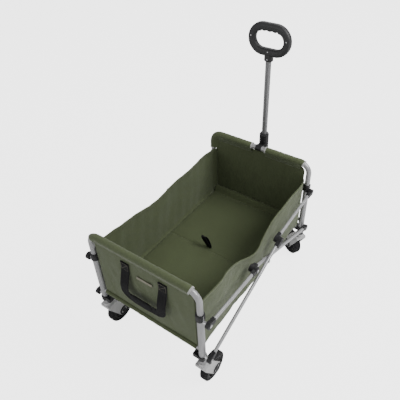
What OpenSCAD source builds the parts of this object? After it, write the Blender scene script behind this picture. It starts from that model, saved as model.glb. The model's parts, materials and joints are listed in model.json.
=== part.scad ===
// Folding utility wagon with a telescoping pull handle.
// X runs across the wagon, Y along it with the handle end at +Y, Z up from the ground.

/* [Frame] */
// Spacing of the leg centres across the wagon
leg_span_x = 480; // [400:1:600]
// Spacing of the leg centres along the wagon
leg_span_y = 790; // [700:1:1000]
// Height of the two top bars' centres above the wheels
top_bar_h = 431; // [400:1:530]
// Diameter of the bent upper tube
upper_tube_d = 22; // [18:0.5:26]
// Wall of the lower leg tubes, which the upper tubes slide into
leg_wall = 1.9; // [1.2:0.1:3]
// Wall of the frame tubes
tube_wall = 1.5; // [1:0.1:2]
// Centreline radius of the upper tube's bends
bend_r = 45; // [38:1:60]
// Diameter of the lower cross tube
cross_tube_d = 16; // [12:0.5:20]
// Height of the lower cross tube's centre above the wheels
cross_tube_h = 122; // [116:1:140]

/* [Folding sides] */
// Height of the lower pivot on each leg above the wheels
low_pivot_h = 87; // [80:1:100]
// Height of the upper pivot on each leg above the wheels
high_pivot_h = 296; // [276:1:326]
// Slope of the long crossed bars when the wagon is open, in degrees
bar_slope = 20.6; // [18:0.1:22]
// Distance along the wagon from its middle to each hinge clip
clip_offset_y = 92; // [80:1:110]
// Height of a flat oval side bar
bar_h = 16; // [12:0.5:20]
// Thickness of a flat oval side bar
bar_t = 12; // [8:0.5:13]
// Diameter of the pivot pins
pin_d = 7; // [5:0.5:8]
// Radius of the plastic end caps
cap_r = 14.5; // [12:0.5:16]

/* [Wheels] */
// Wheel diameter
wheel_d = 124; // [100:1:140]
// Tyre width
wheel_w = 34; // [28:1:44]
// Thickness of the tyre's rubber
tyre_t = 17; // [10:1:22]
// Axle diameter
axle_d = 10; // [8:0.5:14]
// Distance from a leg's axis to its wheel's axle
wheel_trail = 55; // [45:1:62]
// Thickness of a fork arm
fork_arm_t = 4.5; // [3:0.25:7]
// Angle that the front casters are turned inwards, in degrees
caster_turn = 60; // [0:1:90]
// Diameter of the caster stem
stem_d = 12; // [10:0.5:14]

/* [Tub] */
// Thickness of the end walls
wall_t = 5; // [3:0.5:7]
// Thickness of the side walls
side_t = 4; // [2:0.5:6]
// Height of the side walls' top edge above the wheels at the four corners
side_corner_h = 376; // [346:1:396]
// Height of the side walls' top edge above the wheels halfway along
side_middle_h = 304; // [276:1:336]
// Height of the floor frame's tubes above the wheels
floor_h = 106; // [102:1:110]
// Diameter of the floor frame's tubes
floor_tube_d = 12; // [10:0.5:14]
// Thickness of the floor boards
board_t = 8; // [4:0.5:10]
// Half of the gap between the two floor frames
floor_gap = 23; // [20:1:40]

/* [Pull handle] */
// Distance of the handle's pivot in front of the legs
handle_out_y = 47; // [42:1:60]
// Height of the handle's pivot above the wheels
handle_pivot_h = 112; // [101:1:136]
// Lean of the handle towards the wagon, in degrees
handle_lean = 1; // [0.5:0.1:3]
// Diameter of the handle's outer tube
outer_tube_d = 27; // [22:0.5:33]
// Height of the outer tube's top above the handle's pivot
outer_tube_l = 350; // [300:1:420]
// Height of the lock collar
lock_collar_h = 82; // [60:1:100]
// Bare length of the inner tube between the lock collar and the grip
inner_bare_l = 328; // [280:1:420]
// Width of the grip
grip_w = 178; // [150:1:200]
// Height of the grip's loop
grip_h = 126; // [100:1:140]
// Plastic of the grip in front of and behind the inner tube
grip_cover = 2.5; // [2:0.5:6]
// Width of the grip's rim
grip_rim = 30; // [22:1:34]

/* [Straps] */
// Width of the webbing
webbing_w = 38; // [25:1:50]
// Thickness of the webbing
webbing_t = 3; // [2:0.5:4]
// Spacing of the carry strap's two legs
strap_span = 182; // [140:1:240]

/* [Hidden] */
$fn = 64;

// Clearances
run_gap = 0.06;      // radial, between a pin and the bore that turns on it
slip_gap = 0.1;      // radial, between pieces that are pushed together
bar_gap = 1;         // between the planes of bars that pass each other
soft_gap = 0.5;      // between fabric and what it wraps
rest_gap = 0.3;      // between the handle and the saddle it leans on

// Heights above the ground: everything above the wheels moves with their size
top_bar_z = wheel_d + top_bar_h;
cross_tube_z = wheel_d + cross_tube_h;
low_pivot_z = wheel_d + low_pivot_h;
high_pivot_z = wheel_d + high_pivot_h;
floor_z = wheel_d + floor_h;
side_corner_z = wheel_d + side_corner_h;
side_middle_z = wheel_d + side_middle_h;
handle_pivot_z = wheel_d + handle_pivot_h;

// Frame
leg_x = leg_span_x / 2;
leg_y = leg_span_y / 2;
upper_r = upper_tube_d / 2;
leg_r = upper_r + slip_gap + leg_wall;
cross_r = cross_tube_d / 2;
upper_overlap = 47;              // how far the upper tube runs down inside the leg
leg_top_z = high_pivot_z + 30;
collar_h_z = 30;                 // height of the plastic collar on a leg
collar_low_z = high_pivot_z + 6;
collar_wall = 3.5;
side_plane = leg_x + leg_r;      // outer surface of the legs

// Planes of the side bars: the inner pair and the outer pair
inner_x = side_plane + 1.5 + bar_t / 2;
outer_x = inner_x + bar_t + bar_gap;
cap_over = 1.2;                  // how far a cap stands proud of its bar's face
pin_r = pin_d / 2;
head_r = 6.5;
head_t = 2.5;
rise = tan(bar_slope);
centre_z = low_pivot_z + leg_y * rise;
clip_z = low_pivot_z + (leg_y + clip_offset_y) * rise;
bar_l = (leg_y + clip_offset_y) / cos(bar_slope);
bar_centre_l = leg_y / cos(bar_slope);
rail_dy = leg_y - clip_offset_y;
rail_dz = clip_z - high_pivot_z;
rail_l = norm([rail_dy, rail_dz]);
rail_slope = atan(rail_dz / rail_dy);

// Wheels and forks
wheel_r = wheel_d / 2;
hub_r = wheel_r - tyre_t;
tyre_lip = 3;
// Right half of the tyre's outer profile, as radius and distance from the wheel's middle
tread = [[hub_r + 4, wheel_w / 2], [wheel_r - 8, wheel_w / 2], [wheel_r - 2, wheel_w / 2 - 5],
    [wheel_r, wheel_w / 2 - 10]];
axle_r = axle_d / 2;
fork_gap = 2;                    // between the tyre's side and a fork arm
fork_in = wheel_w / 2 + fork_gap;
fork_out = fork_in + fork_arm_t;
hood_top = wheel_d + 26;
hood_low = wheel_d + 12;
hood_back = leg_r + 4;
boss_top = hood_top + 16;
arm_r = 25;                      // radius of the arm's end round the axle
leg_foot_rear = hood_low + 2;
bush_t = 6;
leg_foot_front = boss_top + bush_t + 1;
stem_r = stem_d / 2;
stem_top = low_pivot_z - pin_r - 8;

// Tub
panel_x = leg_x - leg_r - 5;
sleeve_t = 3;
sleeve_x = leg_x - bend_r - 1;
hem_t = 2;
side_x = leg_x - 9;
side_y = leg_y - leg_r - 6;
floor_r = floor_tube_d / 2;
floor_pivot_y = leg_y - 19;
floor_bar_x = panel_x - 24;
floor_cross_r = floor_r - 0.5;
floor_cross_y = floor_gap + floor_r;
floor_pin_r = 4;
eye_r = floor_r + 2;
eye_w = floor_r + 0.6;              // half width of the eye on a floor frame's end
bracket_in_x = floor_bar_x + eye_w + 1.4;
bracket_ear_t = 8;
bracket_z = low_pivot_z - 22;
bracket_h = 20;
clamp_wall = 4;
board_x = floor_bar_x - floor_r - 2;
board_back = 12;                 // from the floor pivot to the board's edge
board_lift = 2.5;                // height of the board's middle above the tubes' middle
notch_x = 34;                    // half width of the bare stretch of the front top bar

// Pull handle
handle_y = leg_y + handle_out_y;
outer_r = outer_tube_d / 2;
outer_wall = 1.3;
inner_r = outer_r - outer_wall - 0.7;
grip_t = 2 * (inner_r + grip_cover);
handle_pin_r = 4;
eye_half = outer_r + 2;
ear_t = 4;
collar_r = outer_r + 7;
collar_low = outer_tube_l - 58;
collar_top = collar_low + lock_collar_h;
inner_low = outer_tube_l - 66;
grip_low = collar_top + inner_bare_l;
neck_h = 26;
neck_r = inner_r + 3.5;
grip_mid = grip_low + neck_h - 6 + grip_h / 2;
button_r = 6;
button_travel = 3;

// Straps
strap_top_z = top_bar_z - 47;
strap_low_z = strap_top_z - 165;
pull_x = -20;                    // the pull loop sits a little to the left
pull_w = 25;
pull_h = 58;
strap_bow = 22;                  // how far the carry strap stands off the wall

// The whole is shifted so that the middle of its length lies on X = 0, Y = 0
caster_reach = max([for (p = tread) (wheel_trail + p[0]) * cos(caster_turn) + p[1] * sin(caster_turn)]);
front_reach = leg_y + max(caster_reach, handle_out_y + outer_r + 4);
rear_reach = leg_y + wall_t / 2 + strap_bow + webbing_t;
shift_y = (rear_reach - front_reach) / 2;

module placed() { translate([0, shift_y, 0]) children(); }
module both_sides() { for (s = [-1, 1]) scale_x(s) children(); }
module scale_x(s) { if (s > 0) children(); else mirror([1, 0, 0]) children(); }
module at_end(e) { if (e > 0) children(); else mirror([0, 1, 0]) children(); }
module x_cyl(r, x0, x1) { translate([x0, 0, 0]) rotate([0, 90, 0]) cylinder(r = r, h = x1 - x0); }
module ring(r_out, r_in, h) {
    difference() {
        cylinder(r = r_out, h = h);
        translate([0, 0, -1]) cylinder(r = r_in, h = h + 2);
    }
}

// ---- end frames, drawn at the +Y end and mirrored for the rear ----
module u_tube() {
    straight = top_bar_z - bend_r - (leg_top_z - upper_overlap);
    r_in = upper_r - tube_wall;
    for (s = [-1, 1]) difference() {
        translate([s * leg_x, leg_y, leg_top_z - upper_overlap]) ring(upper_r, r_in, straight);
        translate([s * leg_x, leg_y, high_pivot_z]) x_cyl(pin_r, -upper_r - 1, upper_r + 1);
    }
    translate([-leg_x + bend_r, leg_y, top_bar_z]) rotate([0, 90, 0])
        ring(upper_r, r_in, leg_span_x - 2 * bend_r);
    for (s = [-1, 1]) translate([s * (leg_x - bend_r), leg_y, top_bar_z - bend_r])
        rotate([90, 0, 0]) rotate([0, 0, s > 0 ? 0 : 90])
            rotate_extrude(angle = 90) translate([bend_r, 0]) difference() {
                circle(r = upper_r);
                circle(r = r_in);
            }
}

module leg_pair(foot) {
    both_sides() translate([leg_x, leg_y, 0]) difference() {
        translate([0, 0, foot]) ring(leg_r, upper_r + slip_gap, leg_top_z - foot);
        for (z = [low_pivot_z, high_pivot_z]) translate([0, 0, z]) x_cyl(pin_r, -leg_r - 1, leg_r + 1);
    }
}

module leg_collars() {
    both_sides() intersection() {
        translate([leg_x, leg_y, collar_low_z]) difference() {
            union() {
                cylinder(r = leg_r + collar_wall, h = collar_h_z - 4);
                translate([0, 0, collar_h_z - 4])
                    cylinder(r1 = leg_r + collar_wall, r2 = upper_r + 2, h = 4, $fn = 48);
            }
            translate([0, 0, -1]) cylinder(r = leg_r, h = leg_top_z - collar_low_z + 1);
            cylinder(r = upper_r, h = collar_h_z + 1);
        }
        translate([0, leg_y - 30, collar_low_z - 1]) cube([side_plane - 0.1, 60, collar_h_z + 2]);
    }
}

module cross_tube() {
    difference() {
        translate([-leg_x, leg_y, cross_tube_z]) rotate([0, 90, 0])
            ring(cross_r, cross_r - tube_wall, leg_span_x);
        both_sides() translate([leg_x, leg_y, cross_tube_z - 20]) cylinder(r = leg_r, h = 40);
    }
}

// Pins through a leg: the spacer reaches out to the plane of the bar that turns on it
module pivot_pins(low_x, high_x) {
    both_sides() for (p = [[low_pivot_z, low_x], [high_pivot_z, high_x]])
        translate([leg_x, leg_y, p[0]]) {
            bar = p[1] - leg_x;
            seat = bar - bar_t / 2 - cap_over - 0.2;
            x_cyl(pin_r, -leg_r, bar + bar_t / 2 + cap_over + 0.4);
            x_cyl(head_r - 1.5, -leg_r - 1.5, -leg_r);
            head = bar + bar_t / 2 + cap_over + 0.4;
            x_cyl(head_r, head, head + head_t);
            if (seat > leg_r + 1) x_cyl(head_r, leg_r, seat);
        }
}

module end_wall(notched) {
    top_low = top_bar_z - upper_r - soft_gap - sleeve_t;
    corner = panel_x - (leg_x - bend_r);
    difference() {
        union() {
            translate([0, leg_y + wall_t / 2, 0]) rotate([90, 0, 0]) linear_extrude(wall_t) union() {
                translate([-panel_x, cross_tube_z])
                    square([2 * panel_x, top_bar_z - bend_r - cross_tube_z]);
                translate([-panel_x + corner, cross_tube_z])
                    square([2 * (panel_x - corner), top_low + 2 - cross_tube_z]);
                for (s = [-1, 1]) translate([s * (panel_x - corner), top_bar_z - bend_r])
                    circle(r = corner);
            }
            translate([-sleeve_x, leg_y, top_bar_z]) rotate([0, 90, 0])
                cylinder(r = upper_r + soft_gap + sleeve_t, h = 2 * sleeve_x);
            translate([-panel_x, leg_y, cross_tube_z]) rotate([0, 90, 0])
                cylinder(r = cross_r + soft_gap + hem_t, h = 2 * panel_x);
        }
        translate([-leg_x, leg_y, top_bar_z]) rotate([0, 90, 0])
            cylinder(r = upper_r + soft_gap, h = leg_span_x);
        translate([-leg_x, leg_y, cross_tube_z]) rotate([0, 90, 0])
            cylinder(r = cross_r + soft_gap, h = leg_span_x);
        if (notched) {
            translate([-notch_x, leg_y - 30, top_low - 12]) cube([2 * notch_x, 60, 60]);
            translate([-bracket_half - 2, leg_y - 30, cross_tube_z - 20])
                cube([2 * bracket_half + 4, 60, 20 + cross_r + 14]);
        }
    }
}

module floor_brackets() {
    ear_x = bracket_in_x;
    both_sides() difference() {
        union() {
            translate([leg_x, leg_y, bracket_z]) cylinder(r = leg_r + clamp_wall, h = bracket_h);
            translate([ear_x, leg_y - leg_r, bracket_z])
                cube([leg_x - leg_r - ear_x, 2 * leg_r, bracket_h]);
            translate([ear_x, 0, 0]) rotate([90, 0, 90]) linear_extrude(bracket_ear_t)
                polygon([[leg_y - leg_r, bracket_z], [leg_y + leg_r, bracket_z],
                    [leg_y + leg_r, bracket_z + bracket_h], [leg_y, bracket_z + bracket_h],
                    [floor_pivot_y + 5, floor_z + 5], [floor_pivot_y - 7, floor_z - 3]]);
            translate([0, floor_pivot_y, floor_z]) x_cyl(eye_r, ear_x, ear_x + bracket_ear_t);
        }
        translate([leg_x, leg_y, bracket_z - 1]) cylinder(r = leg_r, h = bracket_h + 2);
        translate([leg_x, leg_y, low_pivot_z]) x_cyl(head_r, -leg_r - 2.5, -leg_r + 2);
        translate([side_plane - 0.1, leg_y - 30, bracket_z - 1]) cube([30, 60, bracket_h + 2]);
        translate([0, floor_pivot_y, floor_z]) x_cyl(floor_pin_r, ear_x - 1, ear_x + bracket_ear_t + 1);
    }
}

module floor_pins() {
    both_sides() translate([0, floor_pivot_y, floor_z]) {
        x_cyl(floor_pin_r, floor_bar_x - eye_w - 1, bracket_in_x + bracket_ear_t);
        x_cyl(floor_pin_r + 2, floor_bar_x - eye_w - 1.9, floor_bar_x - eye_w - 0.4);
    }
}

// ---- floor, drawn for the +Y end ----
module floor_frame() {
    difference() {
        union() {
            for (s = [-1, 1]) translate([s * floor_bar_x, floor_gap, floor_z]) rotate([-90, 0, 0])
                cylinder(r = floor_r, h = floor_pivot_y - floor_gap);
            translate([0, floor_cross_y, floor_z]) x_cyl(floor_cross_r, -floor_bar_x, floor_bar_x);
            for (s = [-1, 1]) translate([s * floor_bar_x, floor_pivot_y, floor_z])
                x_cyl(eye_r, -eye_w, eye_w);
        }
        for (s = [-1, 1]) translate([s * floor_bar_x, floor_pivot_y, floor_z])
            x_cyl(floor_pin_r + run_gap, -eye_w - 1, eye_w + 1);
    }
}

module floor_board() {
    y0 = floor_cross_y + floor_cross_r;
    y1 = floor_pivot_y - board_back;
    translate([-board_x, y0, floor_z + board_lift - board_t / 2])
        cube([2 * board_x, y1 - y0, board_t]);
}

// ---- side bars, drawn for the right side ----
module oval(w, h) {
    square([w, h - w], center = true);
    for (s = [-1, 1]) translate([0, s * (h - w) / 2]) circle(r = w / 2);
}

// A flat oval bar along +Y from the pin at the origin to one at l, with bores at each place in holes
module flat_bar(l, holes) {
    over = bar_h / 2 + 1;
    difference() {
        translate([0, l + over, 0]) rotate([90, 0, 0]) linear_extrude(l + 2 * over) oval(bar_t, bar_h);
        for (y = holes) translate([0, y, 0]) x_cyl(pin_r + run_gap, -bar_t, bar_t);
    }
}

// A plastic boot on a bar's end, reaching over the faces by the two given amounts
module bar_boot(low, high) {
    sleeve_l = 30;
    difference() {
        union() {
            x_cyl(cap_r, -bar_t / 2 - low, bar_t / 2 + high);
            translate([-bar_t / 2 - low, 0, -bar_h / 2 - 2])
                cube([bar_t + low + high, sleeve_l, bar_h + 4]);
        }
        translate([0, sleeve_l + 1, 0]) rotate([90, 0, 0])
            linear_extrude(sleeve_l + 1 + bar_h / 2 + 1) oval(bar_t, bar_h);
        x_cyl(pin_r + run_gap, -bar_t - low, bar_t + high);
    }
}

module along_outer() {
    translate([outer_x, -leg_y, low_pivot_z]) rotate([bar_slope, 0, 0]) children();
}
module along_inner() {
    translate([inner_x, leg_y, low_pivot_z]) mirror([0, 1, 0]) rotate([bar_slope, 0, 0]) children();
}
module along_rear_rail() {
    translate([outer_x, -leg_y, high_pivot_z]) rotate([rail_slope, 0, 0]) children();
}
module along_front_rail() {
    translate([inner_x, leg_y, high_pivot_z]) mirror([0, 1, 0]) rotate([rail_slope, 0, 0]) children();
}

module long_bar() { flat_bar(bar_l, [0, bar_centre_l, bar_l]); }

// Boots of a long bar; the clip end only builds out on the side away from its rail
module long_bar_boots(out) {
    bar_boot(cap_over, cap_over);
    far = cap_over + 4;
    translate([0, bar_l, 0]) mirror([0, 1, 0]) bar_boot(out > 0 ? 0 : far, out > 0 ? far : 0);
}

module rail_boots(out) {
    bar_boot(cap_over, cap_over);
    translate([0, rail_l, 0]) mirror([0, 1, 0])
        bar_boot(out > 0 ? 0.3 : cap_over, out > 0 ? cap_over : 0.3);
}

module rail_rivet(out) {
    x0 = out > 0 ? -bar_t / 2 - 0.3 : -bar_t / 2 - cap_over - head_t;
    translate([0, rail_l, 0]) {
        x_cyl(pin_r, x0, x0 + bar_t + 0.3 + cap_over + head_t);
        if (out > 0) x_cyl(head_r, bar_t / 2 + cap_over, bar_t / 2 + cap_over + head_t);
        else x_cyl(head_r, -bar_t / 2 - cap_over - head_t, -bar_t / 2 - cap_over);
    }
}

// ---- wheels and forks, drawn round the leg's axis with the wheel trailing to +Y ----
module tyre() {
    seat = wheel_w / 2 - tyre_lip;
    translate([0, wheel_trail, wheel_r]) rotate([0, 90, 0]) rotate_extrude($fn = 96)
        polygon(concat([[hub_r, -seat], [hub_r, seat]], tread,
            [for (i = [3:-1:0]) [tread[i][0], -tread[i][1]]]));
}

module hub() {
    boss_r = axle_r + 7;
    rim_w = wheel_w - 6;
    web_t = 8;
    translate([0, wheel_trail, wheel_r]) difference() {
        union() {
            difference() {
                x_cyl(hub_r, -rim_w / 2, rim_w / 2);
                x_cyl(hub_r - 5, web_t / 2, rim_w);
                x_cyl(hub_r - 5, -rim_w, -web_t / 2);
            }
            x_cyl(boss_r, -fork_in + 0.5, fork_in - 0.5);
        }
        x_cyl(axle_r + run_gap, -fork_in, fork_in);
    }
}

// Side outline of a fork: the hood above, and an arm that ends round the axle
module fork_outline() {
    low_angle = 214;
    high_angle = 392;
    steps = 20;
    polygon(concat([[hood_back + 12, hood_top], [-hood_back, hood_top], [-hood_back, hood_low]],
        [for (i = [0:steps]) let (a = low_angle + (high_angle - low_angle) * i / steps)
            [wheel_trail + arm_r * cos(a), wheel_r + arm_r * sin(a)]]));
}

module fork(socket_r, socket_low) {
    difference() {
        union() {
            translate([-fork_out, 0, 0]) rotate([90, 0, 90]) linear_extrude(2 * fork_out) fork_outline();
            translate([0, 0, hood_low + 1]) cylinder(r = leg_r + 3, h = boss_top - hood_low - 1);
        }
        translate([-fork_in, -hood_back - 50, -10])
            cube([2 * fork_in, wheel_d + wheel_trail + 100, hood_low + 10]);
        translate([0, 0, socket_low]) cylinder(r = socket_r, h = boss_top);
        translate([0, wheel_trail, wheel_r]) x_cyl(axle_r, -fork_out - 1, fork_out + 1);
    }
}

// Trim cap on the outside of a fork arm, with a curved slot on each side of its middle
module axle_cap() {
    difference() {
        x_cyl(arm_r - 2, fork_out, fork_out + 3);
        difference() {
            x_cyl(arm_r - 9, fork_out - 1, fork_out + 4);
            x_cyl(axle_r + 4.5, fork_out - 2, fork_out + 5);
            translate([fork_out - 2, -3, -arm_r]) cube([8, 6, 2 * arm_r]);
        }
    }
}

module axle() {
    translate([0, wheel_trail, wheel_r]) {
        x_cyl(axle_r, -fork_out - 0.2, fork_out + 0.2);
        axle_cap();
        mirror([1, 0, 0]) axle_cap();
    }
}

module at_rear(s) { translate([s * leg_x, -leg_y, 0]) children(); }
module at_front(s) { translate([s * leg_x, leg_y, 0]) rotate([0, 0, s * caster_turn]) children(); }

module caster_stem() {
    cylinder_low = hood_low + 2;
    translate([0, 0, cylinder_low]) cylinder(r = stem_r, h = stem_top - cylinder_low);
    translate([0, 0, stem_top - 6]) cylinder(r = stem_r + 1.5, h = 3);
    axle();
}

// ---- pull handle, drawn upright with its pivot at the origin ----
bracket_half = eye_half + 0.6 + ear_t;

module on_handle() {
    translate([0, handle_y, handle_pivot_z]) rotate([handle_lean, 0, 0]) children();
}

module bracket() {
    back_y = -eye_half - 3;
    clamp_y = leg_y - handle_y;
    clamp_z = cross_tube_z - handle_pivot_z;
    translate([0, handle_y, handle_pivot_z]) difference() {
        union() {
            for (s = [-1, 1]) translate([s > 0 ? bracket_half - ear_t : -bracket_half, 0, 0]) {
                rotate([0, 90, 0]) cylinder(r = 14, h = ear_t);
                translate([0, back_y, -14]) cube([ear_t, -back_y, 28]);
            }
            translate([-bracket_half, back_y - 5, -14]) cube([2 * bracket_half, 5, 28]);
            translate([-bracket_half, clamp_y, -14])
                cube([2 * bracket_half, back_y - clamp_y, 28]);
            translate([0, clamp_y, clamp_z]) x_cyl(cross_r + 5, -bracket_half, bracket_half);
        }
        translate([0, clamp_y, clamp_z]) x_cyl(cross_r, -bracket_half - 1, bracket_half + 1);
        x_cyl(handle_pin_r, -bracket_half - 1, bracket_half + 1);
        translate([-bracket_half - 1, clamp_y - 40, -30]) cube([2 * bracket_half + 2, 40, 60 + clamp_z]);
        translate([-bracket_half + 5, clamp_y + cross_r + 6, -15])
            cube([2 * bracket_half - 10, back_y - clamp_y - cross_r - 11, 30]);
    }
    translate([0, leg_y, cross_tube_z]) difference() {
        x_cyl(cross_r + 3, -bracket_half, bracket_half);
        x_cyl(cross_r, -bracket_half - 1, bracket_half + 1);
        translate([-bracket_half - 1, 0, -30]) cube([2 * bracket_half + 2, 40, 60]);
    }
}

module rest_clip() {
    half = 13;
    reach = handle_out_y - (top_bar_z - handle_pivot_z) * tan(handle_lean);
    translate([0, leg_y, top_bar_z]) difference() {
        union() {
            x_cyl(upper_r + 3, -half, half);
            translate([-half, 0, -9]) cube([2 * half, reach - 4, 18]);
        }
        x_cyl(upper_r, -half - 1, half + 1);
        translate([0, reach, 0]) rotate([handle_lean, 0, 0])
            cylinder(r = collar_r + rest_gap, h = 60, center = true);
    }
}

module pivot_pin_of_handle() {
    translate([0, handle_y, handle_pivot_z]) {
        x_cyl(handle_pin_r, -bracket_half - 0.2, bracket_half + 0.2);
        x_cyl(handle_pin_r + 3, bracket_half, bracket_half + 2.5);
        x_cyl(handle_pin_r + 3, -bracket_half - 2.5, -bracket_half);
    }
}

module outer_tube() {
    difference() {
        union() {
            translate([0, 0, 12]) cylinder(r = outer_r, h = outer_tube_l - 12);
            cylinder(r = outer_r, h = 12);
            x_cyl(outer_r, -eye_half, eye_half);
        }
        translate([0, 0, 22]) cylinder(r = outer_r - outer_wall, h = outer_tube_l);
        x_cyl(handle_pin_r + run_gap, -eye_half - 1, eye_half + 1);
        translate([0, 0, button_z]) rotate([-90, 0, 0])
            cylinder(r = button_r + slip_gap, h = outer_r + 2);
    }
}
button_z = outer_tube_l - 22;

module lock_collar() {
    difference() {
        union() {
            translate([0, 0, collar_low]) cylinder(r = collar_r, h = lock_collar_h - 6);
            translate([0, 0, collar_top - 6])
                cylinder(r1 = collar_r, r2 = collar_r - 3, h = 6, $fn = 48);
            translate([-11, 0, collar_low + 12]) cube([22, collar_r + 3, 50]);
        }
        translate([0, 0, collar_low - 1]) cylinder(r = outer_r, h = outer_tube_l - collar_low + 1);
        cylinder(r = inner_r + run_gap, h = collar_top + 1);
        translate([0, 0, button_z]) rotate([-90, 0, 0])
            cylinder(r = button_r + slip_gap, h = collar_r + 20);
    }
}

module lock_button() {
    translate([0, outer_r + 0.4, button_z]) rotate([-90, 0, 0]) {
        cylinder(r = button_r, h = collar_r + 3 + button_travel - outer_r - 0.4);
    }
}

module inner_tube() {
    plug_r = outer_r - outer_wall - slip_gap;
    difference() {
        union() {
            translate([0, 0, inner_low]) cylinder(r = inner_r, h = grip_low + neck_h + 6 - inner_low);
            translate([0, 0, inner_low]) cylinder(r = plug_r, h = 8);
        }
        translate([0, 0, inner_low - 1])
            cylinder(r = inner_r - 1.2, h = grip_low + neck_h + 10 - inner_low);
    }
}

module racetrack(w, h) {
    square([w - h, h], center = true);
    for (s = [-1, 1]) translate([s * (w - h) / 2, 0]) circle(r = h / 2);
}

module grip_half(s) {
    edge = 5;
    hole_h = grip_h - 2 * grip_rim;
    hole_w = grip_w - 2 * grip_rim;
    translate([0, 0, grip_mid]) difference() {
        rotate([90, 0, 0]) mirror([0, 0, s > 0 ? 1 : 0]) union() {
            linear_extrude(grip_t / 2 - edge) racetrack(grip_w, grip_h);
            linear_extrude(grip_t / 2) racetrack(grip_w - 2 * edge, grip_h - 2 * edge);
            translate([0, grip_low - grip_mid]) translate([-neck_r, 0, 0])
                cube([2 * neck_r, grip_mid - grip_low - hole_h / 2 - 2, grip_t / 2]);
        }
        rotate([90, 0, 0]) linear_extrude(grip_t + 2, center = true) racetrack(hole_w, hole_h);
        translate([0, 0, grip_low - grip_mid - 1]) cylinder(r = inner_r, h = neck_h + 8);
        for (p = grip_screw_places) translate([p[0], 0, p[1]]) rotate([90, 0, 0])
            cylinder(r = screw_r, h = grip_t + 2, center = true);
    }
}
screw_r = 2.5;
grip_screw_places = [[-grip_w / 2 + grip_rim / 2, 8], [grip_w / 2 - grip_rim / 2, 8],
    [0, grip_low - grip_mid + neck_h + 13], [0, grip_low - grip_mid + 9]];

module screws() {
    translate([0, 0, grip_mid]) for (i = [0:3]) {
        p = grip_screw_places[i];
        // The screws on the neck's line stop short of the tube and the loop's wall
        translate([p[0], -grip_t / 2, p[1]]) rotate([-90, 0, 0]) {
            cylinder(r = screw_r, h = i == 3 ? grip_t / 2 - inner_r - 0.5 : grip_t - 3);
        }
    }
}

// ---- straps ----
module carry() {
    half = strap_span / 2;
    y0 = -leg_y - wall_t / 2;
    leg_l = strap_top_z - strap_low_z;
    translate([0, y0, 0]) {
        for (s = [-1, 1]) translate([s * half - webbing_w / 2, 0, 0]) rotate([90, 0, 90])
            linear_extrude(webbing_w) polygon([[0, strap_top_z], [-webbing_t, strap_top_z],
                [-webbing_t - 1, strap_top_z - 40], [-strap_bow - webbing_t, strap_low_z + webbing_w],
                [-strap_bow - webbing_t, strap_low_z], [-strap_bow, strap_low_z],
                [-strap_bow, strap_low_z + webbing_w], [-1, strap_top_z - 40]]);
        translate([-half, -strap_bow - webbing_t, strap_low_z])
            cube([strap_span, webbing_t, webbing_w]);
    }
}

// A loop sewn round the front floor frame's cross tube
module pull_loop() {
    d = 2 * webbing_t + 4;
    translate([pull_x, floor_cross_y, floor_z]) difference() {
        translate([-pull_w / 2, -d / 2, 0]) cube([pull_w, d, pull_h]);
        translate([-pull_w, -d / 2 + webbing_t, -1])
            cube([2 * pull_w, d - 2 * webbing_t, pull_h + 1 - webbing_t]);
        x_cyl(floor_cross_r, -pull_w, pull_w);
    }
}

module side_wall() {
    low = floor_z - floor_r;
    translate([side_x - side_t / 2, 0, 0]) rotate([90, 0, 90]) linear_extrude(side_t)
        polygon([[-side_y, low], [side_y, low], [side_y, side_corner_z],
            [clip_offset_y * 2, (side_corner_z + side_middle_z) / 2], [0, side_middle_z],
            [-clip_offset_y * 2, (side_corner_z + side_middle_z) / 2], [-side_y, side_corner_z]]);
}

fabric = [0.33, 0.37, 0.26];
silver = [0.78, 0.78, 0.77];
grey_plastic = [0.62, 0.62, 0.61];
dark_plastic = [0.15, 0.15, 0.16];
steel = [0.7, 0.7, 0.72];
rubber = [0.12, 0.12, 0.12];
webbing = [0.08, 0.08, 0.08];

module rear_u_tube() { color(silver) placed() at_end(-1) u_tube(); }
module rear_legs() { color(silver) placed() at_end(-1) leg_pair(leg_foot_rear); }
module rear_leg_collars() { color(dark_plastic) placed() at_end(-1) leg_collars(); }
module rear_cross_tube() { color(silver) placed() at_end(-1) cross_tube(); }
module rear_end_panel() { color(fabric) placed() at_end(-1) end_wall(false); }
module rear_floor_brackets() { color(dark_plastic) placed() at_end(-1) floor_brackets(); }
module rear_pivot_pins() {
    color(steel) placed() at_end(-1) {
        pivot_pins(outer_x, outer_x);
        floor_pins();
    }
}
module rear_forks() {
    color(grey_plastic) placed() for (s = [-1, 1]) at_rear(s) fork(leg_r, leg_foot_rear);
}
module rear_axles() { color(steel) placed() for (s = [-1, 1]) at_rear(s) axle(); }
module carry_strap() { color(webbing) placed() carry(); }
module left_side_panel() { color(fabric) placed() scale_x(-1) side_wall(); }
module right_side_panel() { color(fabric) placed() side_wall(); }

module front_u_tube() { color(silver) placed() u_tube(); }
module front_legs() { color(silver) placed() leg_pair(leg_foot_front); }
module front_leg_collars() { color(dark_plastic) placed() leg_collars(); }
module front_cross_tube() { color(silver) placed() cross_tube(); }
module front_end_panel() { color(fabric) placed() end_wall(true); }
module front_floor_brackets() { color(dark_plastic) placed() floor_brackets(); }
module front_pivot_pins() {
    color(steel) placed() {
        pivot_pins(inner_x, inner_x);
        floor_pins();
    }
}
module caster_bushes() {
    color(dark_plastic) placed() both_sides() translate([leg_x, leg_y, leg_foot_front]) difference() {
        union() {
            translate([0, 0, -bush_t]) cylinder(r = leg_r + 2, h = bush_t);
            cylinder(r = upper_r + slip_gap, h = 16);
        }
        translate([0, 0, -bush_t - 1]) cylinder(r = stem_r + run_gap, h = bush_t + 18);
    }
}
module handle_bracket() { color(dark_plastic) placed() bracket(); }
module handle_rest_clip() { color(dark_plastic) placed() rest_clip(); }
module handle_pin() { color(steel) placed() pivot_pin_of_handle(); }

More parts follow.
